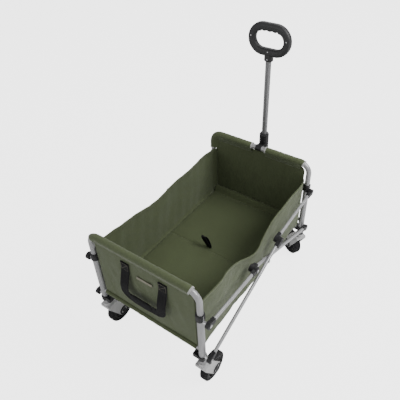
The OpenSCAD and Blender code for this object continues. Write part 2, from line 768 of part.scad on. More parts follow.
module right_outer_bar() { color(silver) placed() along_outer() long_bar(); }
module left_outer_bar() { color(silver) placed() scale_x(-1) along_outer() long_bar(); }
module outer_bar_caps() { color(dark_plastic) placed() both_sides() along_outer() long_bar_boots(1); }
module centre_pins() {
    color(steel) placed() both_sides() translate([outer_x, 0, centre_z]) {
        x_cyl(pin_r, -bar_t * 1.5 - bar_gap - 1, bar_t / 2 + 0.4);
        x_cyl(head_r, bar_t / 2 + 0.4, bar_t / 2 + 0.4 + head_t);
        x_cyl(head_r - 1, -bar_t * 1.5 - bar_gap - 2.4, -bar_t * 1.5 - bar_gap - 0.4);
    }
}
module right_inner_bar() { color(silver) placed() along_inner() long_bar(); }
module left_inner_bar() { color(silver) placed() scale_x(-1) along_inner() long_bar(); }
module inner_bar_caps() { color(dark_plastic) placed() both_sides() along_inner() long_bar_boots(-1); }
module rear_rails() {
    color(silver) placed() both_sides() along_rear_rail() flat_bar(rail_l, [0, rail_l]);
}
module rear_rail_caps() { color(dark_plastic) placed() both_sides() along_rear_rail() rail_boots(1); }
module rear_rail_rivets() { color(steel) placed() both_sides() along_rear_rail() rail_rivet(1); }
module front_rails() {
    color(silver) placed() both_sides() along_front_rail() flat_bar(rail_l, [0, rail_l]);
}
module front_rail_caps() { color(dark_plastic) placed() both_sides() along_front_rail() rail_boots(-1); }
module front_rail_rivets() { color(steel) placed() both_sides() along_front_rail() rail_rivet(-1); }

module rear_floor_frame() { color(silver) placed() rotate([0, 0, 180]) floor_frame(); }
module rear_floor_board() { color(fabric) placed() at_end(-1) floor_board(); }
module front_floor_frame() { color(silver) placed() floor_frame(); }
module front_floor_board() { color(fabric) placed() floor_board(); }
module pull_strap() { color(webbing) placed() pull_loop(); }

module rear_right_tyre() { color(rubber) placed() at_rear(1) tyre(); }
module rear_right_hub() { color(dark_plastic) placed() at_rear(1) hub(); }
module rear_left_tyre() { color(rubber) placed() at_rear(-1) tyre(); }
module rear_left_hub() { color(dark_plastic) placed() at_rear(-1) hub(); }
module front_right_tyre() { color(rubber) placed() at_front(1) tyre(); }
module front_right_hub() { color(dark_plastic) placed() at_front(1) hub(); }
module front_left_tyre() { color(rubber) placed() at_front(-1) tyre(); }
module front_left_hub() { color(dark_plastic) placed() at_front(-1) hub(); }
module right_caster_fork() { color(grey_plastic) placed() at_front(1) fork(stem_r, hood_low + 2); }
module left_caster_fork() { color(grey_plastic) placed() at_front(-1) fork(stem_r, hood_low + 2); }
module right_caster_stem() { color(steel) placed() at_front(1) caster_stem(); }
module left_caster_stem() { color(steel) placed() at_front(-1) caster_stem(); }

module handle_outer_tube() { color(silver) placed() on_handle() outer_tube(); }
module handle_lock_collar() { color(dark_plastic) placed() on_handle() lock_collar(); }
module handle_lock_button() { color(grey_plastic) placed() on_handle() lock_button(); }
module handle_inner_tube() { color(silver) placed() on_handle() inner_tube(); }
module grip_front_half() { color(dark_plastic) placed() on_handle() grip_half(1); }
module grip_rear_half() { color(dark_plastic) placed() on_handle() grip_half(-1); }
module grip_screws() { color(steel) placed() on_handle() screws(); }

rear_u_tube();
rear_legs();
rear_leg_collars();
rear_cross_tube();
rear_end_panel();
rear_floor_brackets();
rear_pivot_pins();
rear_forks();
rear_axles();
carry_strap();
left_side_panel();
right_side_panel();
front_u_tube();
front_legs();
front_leg_collars();
front_cross_tube();
front_end_panel();
front_floor_brackets();
front_pivot_pins();
caster_bushes();
handle_bracket();
handle_rest_clip();
handle_pin();
right_outer_bar();
left_outer_bar();
outer_bar_caps();
centre_pins();
right_inner_bar();
left_inner_bar();
inner_bar_caps();
rear_rails();
rear_rail_caps();
rear_rail_rivets();
front_rails();
front_rail_caps();
front_rail_rivets();
rear_floor_frame();
rear_floor_board();
front_floor_frame();
front_floor_board();
pull_strap();
rear_right_tyre();
rear_right_hub();
rear_left_tyre();
rear_left_hub();
front_right_tyre();
front_right_hub();
front_left_tyre();
front_left_hub();
right_caster_fork();
left_caster_fork();
right_caster_stem();
left_caster_stem();
handle_outer_tube();
handle_lock_collar();
handle_lock_button();
handle_inner_tube();
grip_front_half();
grip_rear_half();
grip_screws();
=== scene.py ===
"""Looks of a folding utility wagon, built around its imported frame."""

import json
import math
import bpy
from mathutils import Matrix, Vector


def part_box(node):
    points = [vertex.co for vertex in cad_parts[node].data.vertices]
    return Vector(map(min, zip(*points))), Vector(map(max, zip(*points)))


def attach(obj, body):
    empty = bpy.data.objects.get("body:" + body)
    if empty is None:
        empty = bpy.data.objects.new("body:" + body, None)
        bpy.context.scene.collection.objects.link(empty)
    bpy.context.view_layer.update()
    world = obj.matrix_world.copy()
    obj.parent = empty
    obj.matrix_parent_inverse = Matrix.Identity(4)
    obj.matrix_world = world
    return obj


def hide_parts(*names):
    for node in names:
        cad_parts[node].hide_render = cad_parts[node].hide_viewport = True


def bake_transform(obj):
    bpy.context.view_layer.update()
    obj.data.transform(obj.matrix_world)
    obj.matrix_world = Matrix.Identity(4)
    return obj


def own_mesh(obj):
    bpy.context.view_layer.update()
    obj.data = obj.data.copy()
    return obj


bl_info = {
    "name": "Folding Wagon Looks",
    "version": (1, 0, 0),
    "blender": (4, 5, 0),
    "location": "3D View > Sidebar > Wagon",
    "description": "Builds the fabric tub, straps, tyres, grip and finishes of a folding wagon",
    "category": "Object",
}

import bpy
import numpy as np
from mathutils import Matrix, Vector

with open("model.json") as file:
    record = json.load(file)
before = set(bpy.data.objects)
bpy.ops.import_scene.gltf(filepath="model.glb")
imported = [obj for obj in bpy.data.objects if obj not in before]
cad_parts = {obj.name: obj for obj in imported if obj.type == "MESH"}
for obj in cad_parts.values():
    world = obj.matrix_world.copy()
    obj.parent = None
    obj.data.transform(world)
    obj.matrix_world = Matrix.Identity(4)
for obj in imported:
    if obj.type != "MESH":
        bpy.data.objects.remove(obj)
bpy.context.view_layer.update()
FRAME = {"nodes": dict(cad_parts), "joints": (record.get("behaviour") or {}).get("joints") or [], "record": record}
NODES = FRAME["nodes"]

# ------------------------------------------------------------------ places read from the frame


def box_mid(node):
    """The middle of a node's box, and its size."""
    low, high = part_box(node)
    return (low + high) / 2, high - low


LEG_MID, LEG_SIZE = box_mid("front_legs")
LEG_X = LEG_SIZE.x / 2 - LEG_SIZE.y / 2
FRONT_Y = LEG_MID.y
REAR_Y = box_mid("rear_legs")[0].y
MID_Y = (FRONT_Y + REAR_Y) / 2
TUBE_R = box_mid("rear_u_tube")[1].y / 2
TOP_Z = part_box("rear_u_tube")[1].z - TUBE_R
CROSS_MID, CROSS_SIZE = box_mid("rear_cross_tube")
CROSS_Z, CROSS_R = CROSS_MID.z, CROSS_SIZE.z / 2
WALL_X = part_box("rear_end_panel")[1].x
BEND_R = LEG_X - WALL_X + 0.027  # radius of the top bar's bends
FLAT_X = LEG_X - BEND_R  # half the top bar's straight stretch
HANDLE_ROOM = 0.034  # half the gap that the front sleeve leaves for the handle
SIDE_MID, SIDE_SIZE = box_mid("right_side_panel")
CORNER_RUN = 0.0185  # how far a side wall runs past its own panel to meet the end wall
SIDE_REACH = SIDE_SIZE.y / 2 + CORNER_RUN  # half a side wall's length
SIDE_FOOT = 0.2235  # height of a side wall's foot
BOARD_LOW, BOARD_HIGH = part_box("front_floor_board")
BOARD_Z = (BOARD_LOW.z + BOARD_HIGH.z) / 2
SEAM_Y = MID_Y + 0.014  # where the two floor covers meet
SEAM_PRESS = 0.0014  # how far each cover passes that line
TYRE_SIZE = box_mid("rear_right_tyre")[1]
WHEEL_R, WHEEL_W = TYRE_SIZE.z / 2, TYRE_SIZE.x
HUB_R = box_mid("rear_right_hub")[1].z / 2
JOINT = {j["name"]: j for j in FRAME["joints"]}
HANDLE_FOOT = Vector(JOINT["handle_swing"]["pos_m"])
HANDLE_AXIS = Vector(JOINT["handle_slide"]["axis"])
GRIP_LOW, GRIP_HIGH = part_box("grip_front_half")
CAPPED = ("rear_axles", "right_caster_stem", "left_caster_stem")  # shafts whose trim caps are black


class WagonSizes(bpy.types.PropertyGroup):
    """Sizes of the soft pieces"""

    cloth: bpy.props.FloatProperty(
        name="Cloth thickness", description="Thickness of the tub's cloth",
        default=0.0016, min=0.0008, max=0.003, unit="LENGTH")
    sleeve_gap: bpy.props.FloatProperty(
        name="Sleeve gap", description="Room between the top bar and the sleeve round it",
        default=0.0022, min=0.001, max=0.004, unit="LENGTH")
    sleeve_drop: bpy.props.FloatProperty(
        name="Sleeve drop", description="Distance from the top bar's middle to the sleeve's seam",
        default=0.030, min=0.02, max=0.05, unit="LENGTH")
    hem: bpy.props.FloatProperty(
        name="Hem radius", description="Half thickness of the rolled top hem",
        default=0.0024, min=0.001, max=0.004, unit="LENGTH")
    webbing: bpy.props.FloatProperty(
        name="Webbing width", description="Width of the carry strap's webbing",
        default=0.038, min=0.02, max=0.05, unit="LENGTH")
    stitch: bpy.props.FloatProperty(
        name="Stitch length", description="Length of one stitch",
        default=0.0042, min=0.002, max=0.008, unit="LENGTH")


class WagonColours(bpy.types.PropertyGroup):
    """Colours of the wagon"""

    cloth: bpy.props.FloatVectorProperty(
        name="Cloth", description="Olive of the tub's cloth", subtype="COLOR",
        size=3, default=(0.069, 0.085, 0.040), min=0, max=1)
    tube: bpy.props.FloatVectorProperty(
        name="Tube", description="Silver-grey paint of the frame", subtype="COLOR",
        size=3, default=(0.30, 0.30, 0.305), min=0, max=1)
    black: bpy.props.FloatVectorProperty(
        name="Black plastic", description="Boots, collars and hubs", subtype="COLOR",
        size=3, default=(0.010, 0.010, 0.011), min=0, max=1)
    fork: bpy.props.FloatVectorProperty(
        name="Fork plastic", description="Light grey of the forks", subtype="COLOR",
        size=3, default=(0.42, 0.42, 0.42), min=0, max=1)


# ------------------------------------------------------------------ small mesh tools


def new_object(name, verts, faces, smooth=True, uv=None):
    """A mesh object at the origin from vertex and face lists, with loop UVs taken from a per-vertex array."""
    mesh = bpy.data.meshes.new(name)
    mesh.from_pydata(np.asarray(verts, float).reshape(-1, 3).tolist(), [], faces)
    mesh.validate()
    if smooth:
        mesh.polygons.foreach_set("use_smooth", np.ones(len(mesh.polygons), bool))
    if uv is not None:
        layer = mesh.uv_layers.new(name="UVMap")
        loops = np.zeros(len(mesh.loops), np.int32)
        mesh.loops.foreach_get("vertex_index", loops)
        layer.data.foreach_set("uv", np.asarray(uv, np.float32).reshape(-1, 2)[loops].ravel())
    mesh.update()
    obj = bpy.data.objects.new(name, mesh)
    bpy.context.scene.collection.objects.link(obj)
    return obj


def grid_faces(nu, nv, wrap_u=False, wrap_v=False, start=0):
    """Quads of a nu by nv grid whose vertex index is start + i * nv + j, closed along u or v where asked."""
    i = np.arange(nu if wrap_u else nu - 1)
    j = np.arange(nv if wrap_v else nv - 1)
    i, j = [a.ravel() for a in np.meshgrid(i, j, indexing="ij")]
    i2, j2 = (i + 1) % nu, (j + 1) % nv
    return (np.stack([i * nv + j, i2 * nv + j, i2 * nv + j2, i * nv + j2], 1) + start).tolist()


def grid_object(name, points, wrap_u=False, wrap_v=False, caps=False, uv=None):
    """A surface from a (nu, nv, 3) array of points. Caps close both ends of a tube wrapped along v."""
    nu, nv = points.shape[:2]
    faces = grid_faces(nu, nv, wrap_u, wrap_v)
    if caps:
        faces.append(list(range(nv)))
        faces.append(list(range((nu - 1) * nv, nu * nv))[::-1])
    return new_object(name, points, faces, uv=uv)


def fix_normals(obj):
    """Turns a closed shape's faces outwards."""
    bpy.context.view_layer.objects.active = obj
    for other in bpy.context.selected_objects:
        other.select_set(False)
    obj.select_set(True)
    bpy.ops.object.mode_set(mode="EDIT")
    bpy.ops.mesh.select_all(action="SELECT")
    bpy.ops.mesh.remove_doubles(threshold=1e-6)
    bpy.ops.mesh.normals_make_consistent(inside=False)
    bpy.ops.object.mode_set(mode="OBJECT")
    obj.select_set(False)
    return obj


def frames(path, side):
    """Unit tangent and two normals at each point of a path. The first normal is the side direction made
    square to the tangent, and the second is the tangent crossed with it."""
    tangent = np.gradient(path, axis=0)
    tangent /= np.linalg.norm(tangent, axis=1)[:, None]
    side = np.broadcast_to(np.asarray(side, float), path.shape)
    first = side - (side * tangent).sum(1)[:, None] * tangent
    first /= np.linalg.norm(first, axis=1)[:, None]
    return tangent, first, np.cross(tangent, first)


def swept(path, profile, side):
    """Points of a profile (a, b) carried along a path: path + a * first normal + b * second normal."""
    _, first, second = frames(path, side)
    return (path[:, None, :] + profile[None, :, 0, None] * first[:, None, :]
            + profile[None, :, 1, None] * second[:, None, :])


def closed_tube(name, points, uv):
    """A tube with capped ends from rings of points along it, its faces turned outwards."""
    return fix_normals(grid_object(name, points, wrap_v=True, caps=True, uv=uv))


def closed_ring(name, points, uv):
    """A surface that closes on itself both ways, its faces turned outwards."""
    return fix_normals(grid_object(name, points, wrap_u=True, wrap_v=True, uv=uv))


def ring_profile(r, n=16, r2=None):
    """A circle, or an ellipse, as n points."""
    a = np.linspace(0, 2 * np.pi, n, endpoint=False)
    return np.stack([r * np.cos(a), (r2 or r) * np.sin(a)], 1)


def slab_profile(width, thick, n=10):
    """A flat strap's section: a rectangle whose two ends are half circles."""
    r = thick / 2
    a = np.linspace(-np.pi / 2, np.pi / 2, n)
    right = np.stack([width / 2 - r + r * np.cos(a), r * np.sin(a)], 1)
    across = np.linspace(1, -1, 8)[1:-1] * (width / 2 - r)
    top = np.stack([across, np.full(6, r)], 1)
    left = -right
    low = np.stack([-across, np.full(6, -r)], 1)
    return np.concatenate([right, top, left, low])


def grid_axes(nu, nv):
    """Two parameters from -1 to 1 that broadcast to a grid."""
    return np.linspace(-1, 1, nu)[:, None], np.linspace(-1, 1, nv)[None, :]


def flat_map(u, v):
    """A UV map in metres from two arrays that broadcast together."""
    return np.stack(np.broadcast_arrays(u, v), -1)


def points_of(x, y, z):
    """Points from three arrays that broadcast together."""
    return np.stack(np.broadcast_arrays(x, y, z), -1)


def squarish(wave, power):
    """A sine or cosine with its size raised to a power below 1, which squares off a round section."""
    return np.sign(wave) * np.abs(wave) ** power


def ripple(u, v, seed, scale=1.0, octaves=4):
    """Smooth wrinkles: a sum of sine waves of random direction and phase, each octave twice as fine and
    half as high."""
    rng = np.random.default_rng(seed)
    total = np.zeros(np.broadcast(u, v).shape)
    for k in range(octaves):
        for _ in range(3):
            angle, phase = rng.uniform(0, 2 * np.pi, 2)
            f = scale * 2**k
            total = total + np.sin(f * (u * np.cos(angle) + v * np.sin(angle)) * 2 * np.pi + phase) / 2**k / 3
    return total


def smooth_step(t):
    """0 before 0, 1 after 1 and a smooth S between."""
    t = np.clip(t, 0, 1)
    return t * t * (3 - 2 * t)


def thicken(obj, thick):
    """A live Solidify of that thickness, centred on the surface."""
    m = obj.modifiers.new("Thickness", "SOLIDIFY")
    m.thickness = thick
    m.offset = 0
    return obj


def dress(obj, material, body=None):
    """Gives a new piece its material and the body it rides on."""
    obj.data.materials.clear()
    obj.data.materials.append(bpy.data.materials[material])
    if body:
        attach(obj, body)
    return obj


# ------------------------------------------------------------------ materials


def group_tree(name, inputs, outputs):
    """An empty shader node group with named float or colour sockets."""
    tree = bpy.data.node_groups.new(name, "ShaderNodeTree")
    for label, kind, value in inputs:
        s = tree.interface.new_socket(name=label, in_out="INPUT", socket_type=kind)
        if value is not None:
            s.default_value = value
    for label, kind in outputs:
        tree.interface.new_socket(name=label, in_out="OUTPUT", socket_type=kind)
    return tree, tree.nodes.new("NodeGroupInput"), tree.nodes.new("NodeGroupOutput")


def math_node(tree, operation, a, b=None):
    """A Math node whose inputs are sockets or plain numbers."""
    n = tree.nodes.new("ShaderNodeMath")
    n.operation = operation
    for i, x in enumerate((a, b)):
        if x is None:
            continue
        if isinstance(x, (int, float)):
            n.inputs[i].default_value = x
        else:
            tree.links.new(x, n.inputs[i])
    return n.outputs[0]


def noise_node(tree, vector, scale, detail=4.0, rough=0.55):
    """A Noise Texture on a vector socket."""
    n = tree.nodes.new("ShaderNodeTexNoise")
    n.inputs["Scale"].default_value = scale
    n.inputs["Detail"].default_value = detail
    n.inputs["Roughness"].default_value = rough
    tree.links.new(vector, n.inputs["Vector"])
    return n.outputs["Fac"]


def make_groups():
    """Builds the node groups that the materials share."""
    tree, gin, gout = group_tree(
        "Weave", [("Vector", "NodeSocketVector", None), ("Threads", "NodeSocketFloat", 900.0)],
        [("Height", "NodeSocketFloat"), ("Tone", "NodeSocketFloat")])
    split = tree.nodes.new("ShaderNodeSeparateXYZ")
    tree.links.new(gin.outputs["Vector"], split.inputs[0])
    waves = []
    for axis in ("X", "Y"):
        turn = math_node(tree, "MULTIPLY", split.outputs[axis], gin.outputs["Threads"])
        waves.append(math_node(tree, "SINE", turn))
    product = math_node(tree, "MULTIPLY", waves[0], waves[1])
    slub = noise_node(tree, gin.outputs["Vector"], 160.0, 3.0)
    height = math_node(tree, "ADD", math_node(tree, "MULTIPLY", product, 0.5),
                       math_node(tree, "MULTIPLY", slub, 0.6))
    tree.links.new(height, gout.inputs["Height"])
    tone = math_node(tree, "ADD", math_node(tree, "MULTIPLY", product, 0.12), slub)
    tree.links.new(tone, gout.inputs["Tone"])

    tree, gin, gout = group_tree(
        "Grain", [("Vector", "NodeSocketVector", None), ("Scale", "NodeSocketFloat", 900.0)],
        [("Height", "NodeSocketFloat"), ("Blotch", "NodeSocketFloat")])
    fine = tree.nodes.new("ShaderNodeTexNoise")
    fine.inputs["Detail"].default_value = 2.0
    tree.links.new(gin.outputs["Vector"], fine.inputs["Vector"])
    tree.links.new(gin.outputs["Scale"], fine.inputs["Scale"])
    tree.links.new(fine.outputs["Fac"], gout.inputs["Height"])
    tree.links.new(noise_node(tree, gin.outputs["Vector"], 22.0, 5.0, 0.6), gout.inputs["Blotch"])

    tree, gin, gout = group_tree(
        "Scuffs", [("Vector", "NodeSocketVector", None), ("Amount", "NodeSocketFloat", 0.3)],
        [("Mask", "NodeSocketFloat")])
    stretch = tree.nodes.new("ShaderNodeMapping")
    stretch.inputs["Scale"].default_value = (90.0, 90.0, 14.0)
    tree.links.new(gin.outputs["Vector"], stretch.inputs["Vector"])
    streak = noise_node(tree, stretch.outputs[0], 1.0, 6.0, 0.7)
    sharp = tree.nodes.new("ShaderNodeMapRange")
    sharp.inputs["From Min"].default_value = 0.58
    sharp.inputs["From Max"].default_value = 0.72
    tree.links.new(streak, sharp.inputs["Value"])
    tree.links.new(math_node(tree, "MULTIPLY", sharp.outputs[0], gin.outputs["Amount"]), gout.inputs["Mask"])


def put_group(tree, name, vector, **values):
    """Places a shared group in a material with its own values."""
    n = tree.nodes.new("ShaderNodeGroup")
    n.node_tree = bpy.data.node_groups[name]
    tree.links.new(vector, n.inputs["Vector"])
    for key, value in values.items():
        n.inputs[key].default_value = value
    return n


def mix_colours(tree, fac, a, b):
    """A colour mix from a to b by a socket."""
    n = tree.nodes.new("ShaderNodeMix")
    n.data_type = "RGBA"
    tree.links.new(fac, n.inputs[0])
    n.inputs[6].default_value = (*a, 1)
    n.inputs[7].default_value = (*b, 1)
    return n.outputs[2]


def spread(tree, fac, low, high, out_low, out_high):
    """Maps a mask from one range to another."""
    n = tree.nodes.new("ShaderNodeMapRange")
    for key, value in (("From Min", low), ("From Max", high), ("To Min", out_low), ("To Max", out_high)):
        n.inputs[key].default_value = value
    tree.links.new(fac, n.inputs["Value"])
    return n.outputs[0]


def start_material(name, metallic=0.0, coords="Object"):
    """A material with a Principled shader and a coordinate socket."""
    if name in bpy.data.materials:
        raise RuntimeError(f"the frame already has a material named {name}")
    m = bpy.data.materials.new(name)
    m.use_nodes = True
    tree = m.node_tree
    shader = tree.nodes["Principled BSDF"]
    shader.inputs["Metallic"].default_value = metallic
    where = tree.nodes.new("ShaderNodeTexCoord").outputs[coords]
    return tree, shader, where


def add_bump(tree, shader, height, strength, distance):
    """Bump from a height socket."""
    n = tree.nodes.new("ShaderNodeBump")
    n.inputs["Strength"].default_value = strength
    n.inputs["Distance"].default_value = distance
    tree.links.new(height, n.inputs["Height"])
    tree.links.new(n.outputs[0], shader.inputs["Normal"])


def tint(colour, k):
    """A colour made k times as bright."""
    return tuple(min(1.0, c * k) for c in colour)


def cloth_material(name, colour, threads=2600.0, sheen=0.2, contrast=0.18, bump=0.4, gloss=0.25):
    """Woven cloth on the piece's own UV map, which is in metres."""
    tree, shader, where = start_material(name, coords="UV")
    weave = put_group(tree, "Weave", where, Threads=threads)
    grain = put_group(tree, "Grain", where, Scale=60.0)
    tone = math_node(tree, "ADD", math_node(tree, "MULTIPLY", weave.outputs["Tone"], 0.6),
                     math_node(tree, "MULTIPLY", grain.outputs["Blotch"], 0.4))
    fac = spread(tree, tone, 0.3, 0.75, 0.0, 1.0)
    shade = mix_colours(tree, fac, tint(colour, 1 - contrast), tint(colour, 1 + contrast))
    tree.links.new(shade, shader.inputs["Base Color"])
    tree.links.new(spread(tree, grain.outputs["Blotch"], 0.3, 0.7, 0.72, 0.9), shader.inputs["Roughness"])
    shader.inputs["Sheen Weight"].default_value = sheen
    shader.inputs["Sheen Roughness"].default_value = 0.45
    shader.inputs["Specular IOR Level"].default_value = gloss
    add_bump(tree, shader, weave.outputs["Height"], bump, 0.0006)


def hard_material(name, colour, rough, metallic=0.0, grain=1400.0, bump=0.12, scuff=0.25, scuff_colour=None,
                  coat=0.0, shine=0.5):
    """Painted, moulded or metal surfaces: fine grain, blotchy gloss and light scuffs."""
    tree, shader, where = start_material(name, metallic)
    fine = put_group(tree, "Grain", where, Scale=grain)
    marks = put_group(tree, "Scuffs", where, Amount=scuff)
    blotch = spread(tree, fine.outputs["Blotch"], 0.3, 0.7, 0.0, 1.0)
    base = mix_colours(tree, blotch, tint(colour, 0.93), tint(colour, 1.06))
    worn = tree.nodes.new("ShaderNodeMix")
    worn.data_type = "RGBA"
    tree.links.new(marks.outputs["Mask"], worn.inputs[0])
    tree.links.new(base, worn.inputs[6])
    worn.inputs[7].default_value = (*(scuff_colour or tint(colour, 1.6)), 1)
    tree.links.new(worn.outputs[2], shader.inputs["Base Color"])
    gloss = math_node(tree, "ADD", spread(tree, fine.outputs["Blotch"], 0.3, 0.7, rough - 0.05, rough + 0.06),
                      math_node(tree, "MULTIPLY", marks.outputs["Mask"], 0.18))
    tree.links.new(gloss, shader.inputs["Roughness"])
    shader.inputs["Coat Weight"].default_value = coat
    shader.inputs["Coat Roughness"].default_value = 0.2
    shader.inputs["Specular IOR Level"].default_value = shine
    add_bump(tree, shader, fine.outputs["Height"], bump, 0.0003)


class WAGON_OT_finishes(bpy.types.Operator):
    """Makes every finish and paints the frame's own pieces"""

    bl_idname = "wagon.finishes"
    bl_label = "Finishes"

    def execute(self, context):
        c = context.scene.wagon_colours
        make_groups()
        cloth = tuple(c.cloth)
        cloth_material("tub_cloth", cloth)
        cloth_material("floor_cloth", cloth, sheen=0.1, contrast=0.13)
        cloth_material("binding", (0.36, 0.36, 0.35), threads=3600.0, contrast=0.08, sheen=0.3)
        cloth_material("strap_webbing", (0.010, 0.010, 0.0105), threads=2400.0, contrast=0.3, bump=0.6,
                       sheen=0.0, gloss=0.15)
        cloth_material("thread", tint(cloth, 0.55), threads=6000.0)
        cloth_material("piping", (0.10, 0.10, 0.10), threads=4800.0, contrast=0.15)
        cloth_material("tag", (0.20, 0.19, 0.14), threads=5000.0, contrast=0.1)
        tube = tuple(c.tube)
        hard_material("tube_paint", tube, 0.36, metallic=0.35, bump=0.1, scuff_colour=tint(tube, 0.7),
                      coat=0.25)
        hard_material("pin_steel", (0.50, 0.50, 0.51), 0.34, metallic=1.0, grain=2600.0, bump=0.1, scuff=0.3,
                      scuff_colour=(0.25, 0.25, 0.26))
        hard_material("handle_metal", (0.20, 0.20, 0.205), 0.40, metallic=0.6, grain=2600.0, bump=0.08,
                      scuff=0.3, scuff_colour=(0.24, 0.24, 0.25), shine=0.3)
        hard_material("boot_plastic", tuple(c.black), 0.48, grain=2200.0, bump=0.2, scuff=0.12, shine=0.32)
        hard_material("grip_moulding", (0.020, 0.020, 0.021), 0.5, grain=2600.0, bump=0.25, scuff=0.1,
                      shine=0.4)
        hard_material("fork_plastic", tuple(c.fork), 0.44, grain=1800.0, bump=0.2, scuff=0.2,
                      scuff_colour=tint(tuple(c.fork), 0.72))
        hard_material("tyre_rubber", (0.013, 0.013, 0.014), 0.72, grain=1500.0, bump=0.35, scuff=0.45,
                      scuff_colour=(0.045, 0.043, 0.04), shine=0.25)
        painted = {
            "frame_tube": "tube_paint", "steel": "pin_steel", "handle_tube": "handle_metal",
            "black_plastic": "boot_plastic", "grip_plastic": "grip_moulding", "grey_plastic": "fork_plastic",
            "fabric": "tub_cloth", "board": "floor_cloth", "webbing": "strap_webbing", "tyre": "tyre_rubber"}
        for row in FRAME["record"]["subparts"]:
            data = NODES[row["node"]].data
            data.materials.clear()
            finish = "boot_plastic" if row["node"] in CAPPED else painted[row["material_slot"]]
            data.materials.append(bpy.data.materials[finish])
        return {"FINISHED"}


# ------------------------------------------------------------------ the tub


def end_facts(end):
    """Leg plane, outward sign and body of an end: -1 is the rear and 1 the front."""
    return (REAR_Y, -1.0, "rear_frame") if end < 0 else (FRONT_Y, 1.0, "front_frame")


def stitches(name, path, up, length, body, gap=1.5):
    """Thread dashes along a path: each is a small flattened six-sided bar a stitch long, and its places are
    spaced evenly by the path's length."""
    step = np.linalg.norm(np.diff(path, axis=0), axis=1)
    run = np.concatenate([[0], np.cumsum(step)])
    n = max(2, int(run[-1] / (length * gap)))
    mid = (np.arange(n) + 0.5) * run[-1] / n
    start, end = [np.stack([np.interp(mid + half, run, path[:, i]) for i in range(3)], 1)
                  for half in (-length / 2, length / 2)]
    along = end - start
    along /= np.linalg.norm(along, axis=1)[:, None]
    side = np.cross(along, np.asarray(up, float))
    side /= np.linalg.norm(side, axis=1)[:, None]
    lift = np.cross(side, along)
    a = (np.arange(6) * np.pi / 3)[None, :, None]
    half_wide, half_high, taper = 0.00055, 0.0004, 0.0006
    ring = half_wide * np.cos(a) * side[:, None, :] + half_high * np.sin(a) * lift[:, None, :]
    verts = np.concatenate([start[:, None, :] + 0.5 * ring, (start + along * taper)[:, None, :] + ring,
                            (end - along * taper)[:, None, :] + ring, end[:, None, :] + 0.5 * ring], 1)
    one = grid_faces(4, 6, wrap_v=True) + [[0, 1, 2, 3, 4, 5], [23, 22, 21, 20, 19, 18]]
    faces = [[v + 24 * k for v in f] for k in range(n) for f in one]
    obj = fix_normals(new_object(name, verts, faces, uv=verts[..., :2].reshape(-1, 2)))
    return dress(obj, "thread", body)


def bar_path(s):
    """The top bar's centre line by signed length from its middle: straight, a quarter circle at each end,
    then straight down the leg. Gives (x, z) and the direction (x, z) that points away from the bend's
    centre."""
    turn = np.clip((np.abs(s) - FLAT_X) / BEND_R, 0, np.pi / 2)
    sign = np.sign(s)
    x = np.clip(s, -FLAT_X, FLAT_X) + sign * BEND_R * np.sin(turn)
    z = TOP_Z - BEND_R * (1 - np.cos(turn)) - np.maximum(np.abs(s) - FLAT_X - BEND_R * np.pi / 2, 0)
    return np.stack([x, z], -1), np.stack([sign * np.sin(turn), np.cos(turn)], -1)


def wall_surface(end):
    """An end wall as a function of x and height: flat at the leg plane, with its top corners rounded to
    stay inside the bar's bend, soft creases that fade at its edges, and a slight sag that bows it outwards
    at mid height."""
    plane, out, _ = end_facts(end)
    nx, nz = 121, 81
    shoulder = 0.045  # the rounding starts this far in from the leg and below the bar
    corner = WALL_X - (LEG_X - shoulder)
    s = np.linspace(-1, 1, nx)[:, None]
    t = np.linspace(0, 1, nz)[None, :]
    x = s * (WALL_X - 0.001)
    over = np.clip(np.abs(x) - (WALL_X - corner), 0, corner)
    rounded = (TOP_Z - shoulder) + np.sqrt(np.maximum(corner**2 - over**2, 0))
    top = np.where(over > 0, rounded, TOP_Z - TUBE_R - 0.004)
    low = CROSS_Z + CROSS_R * 0.4
    z = low + (top - low) * t
    edge = (1 - np.abs(s) ** 6) * np.sin(np.pi * np.clip(t, 0, 1)) ** 0.6
    crease = 0.0036 * ripple(x / 0.13, z / 0.42, 11 + int(out), 0.8, 4) * edge
    bow = 0.004 * (1 - s**2) * np.sin(np.pi * t) * out
    return points_of(x, plane + bow + crease, z), flat_map(x, z)


def piping(name, line, body):
    """A thin round cord sewn along an edge."""
    pts = swept(line, ring_profile(0.0021, 10), (0, 0, 1))
    obj = closed_tube(name, pts, pts[..., :2])
    return dress(obj, "piping", body)


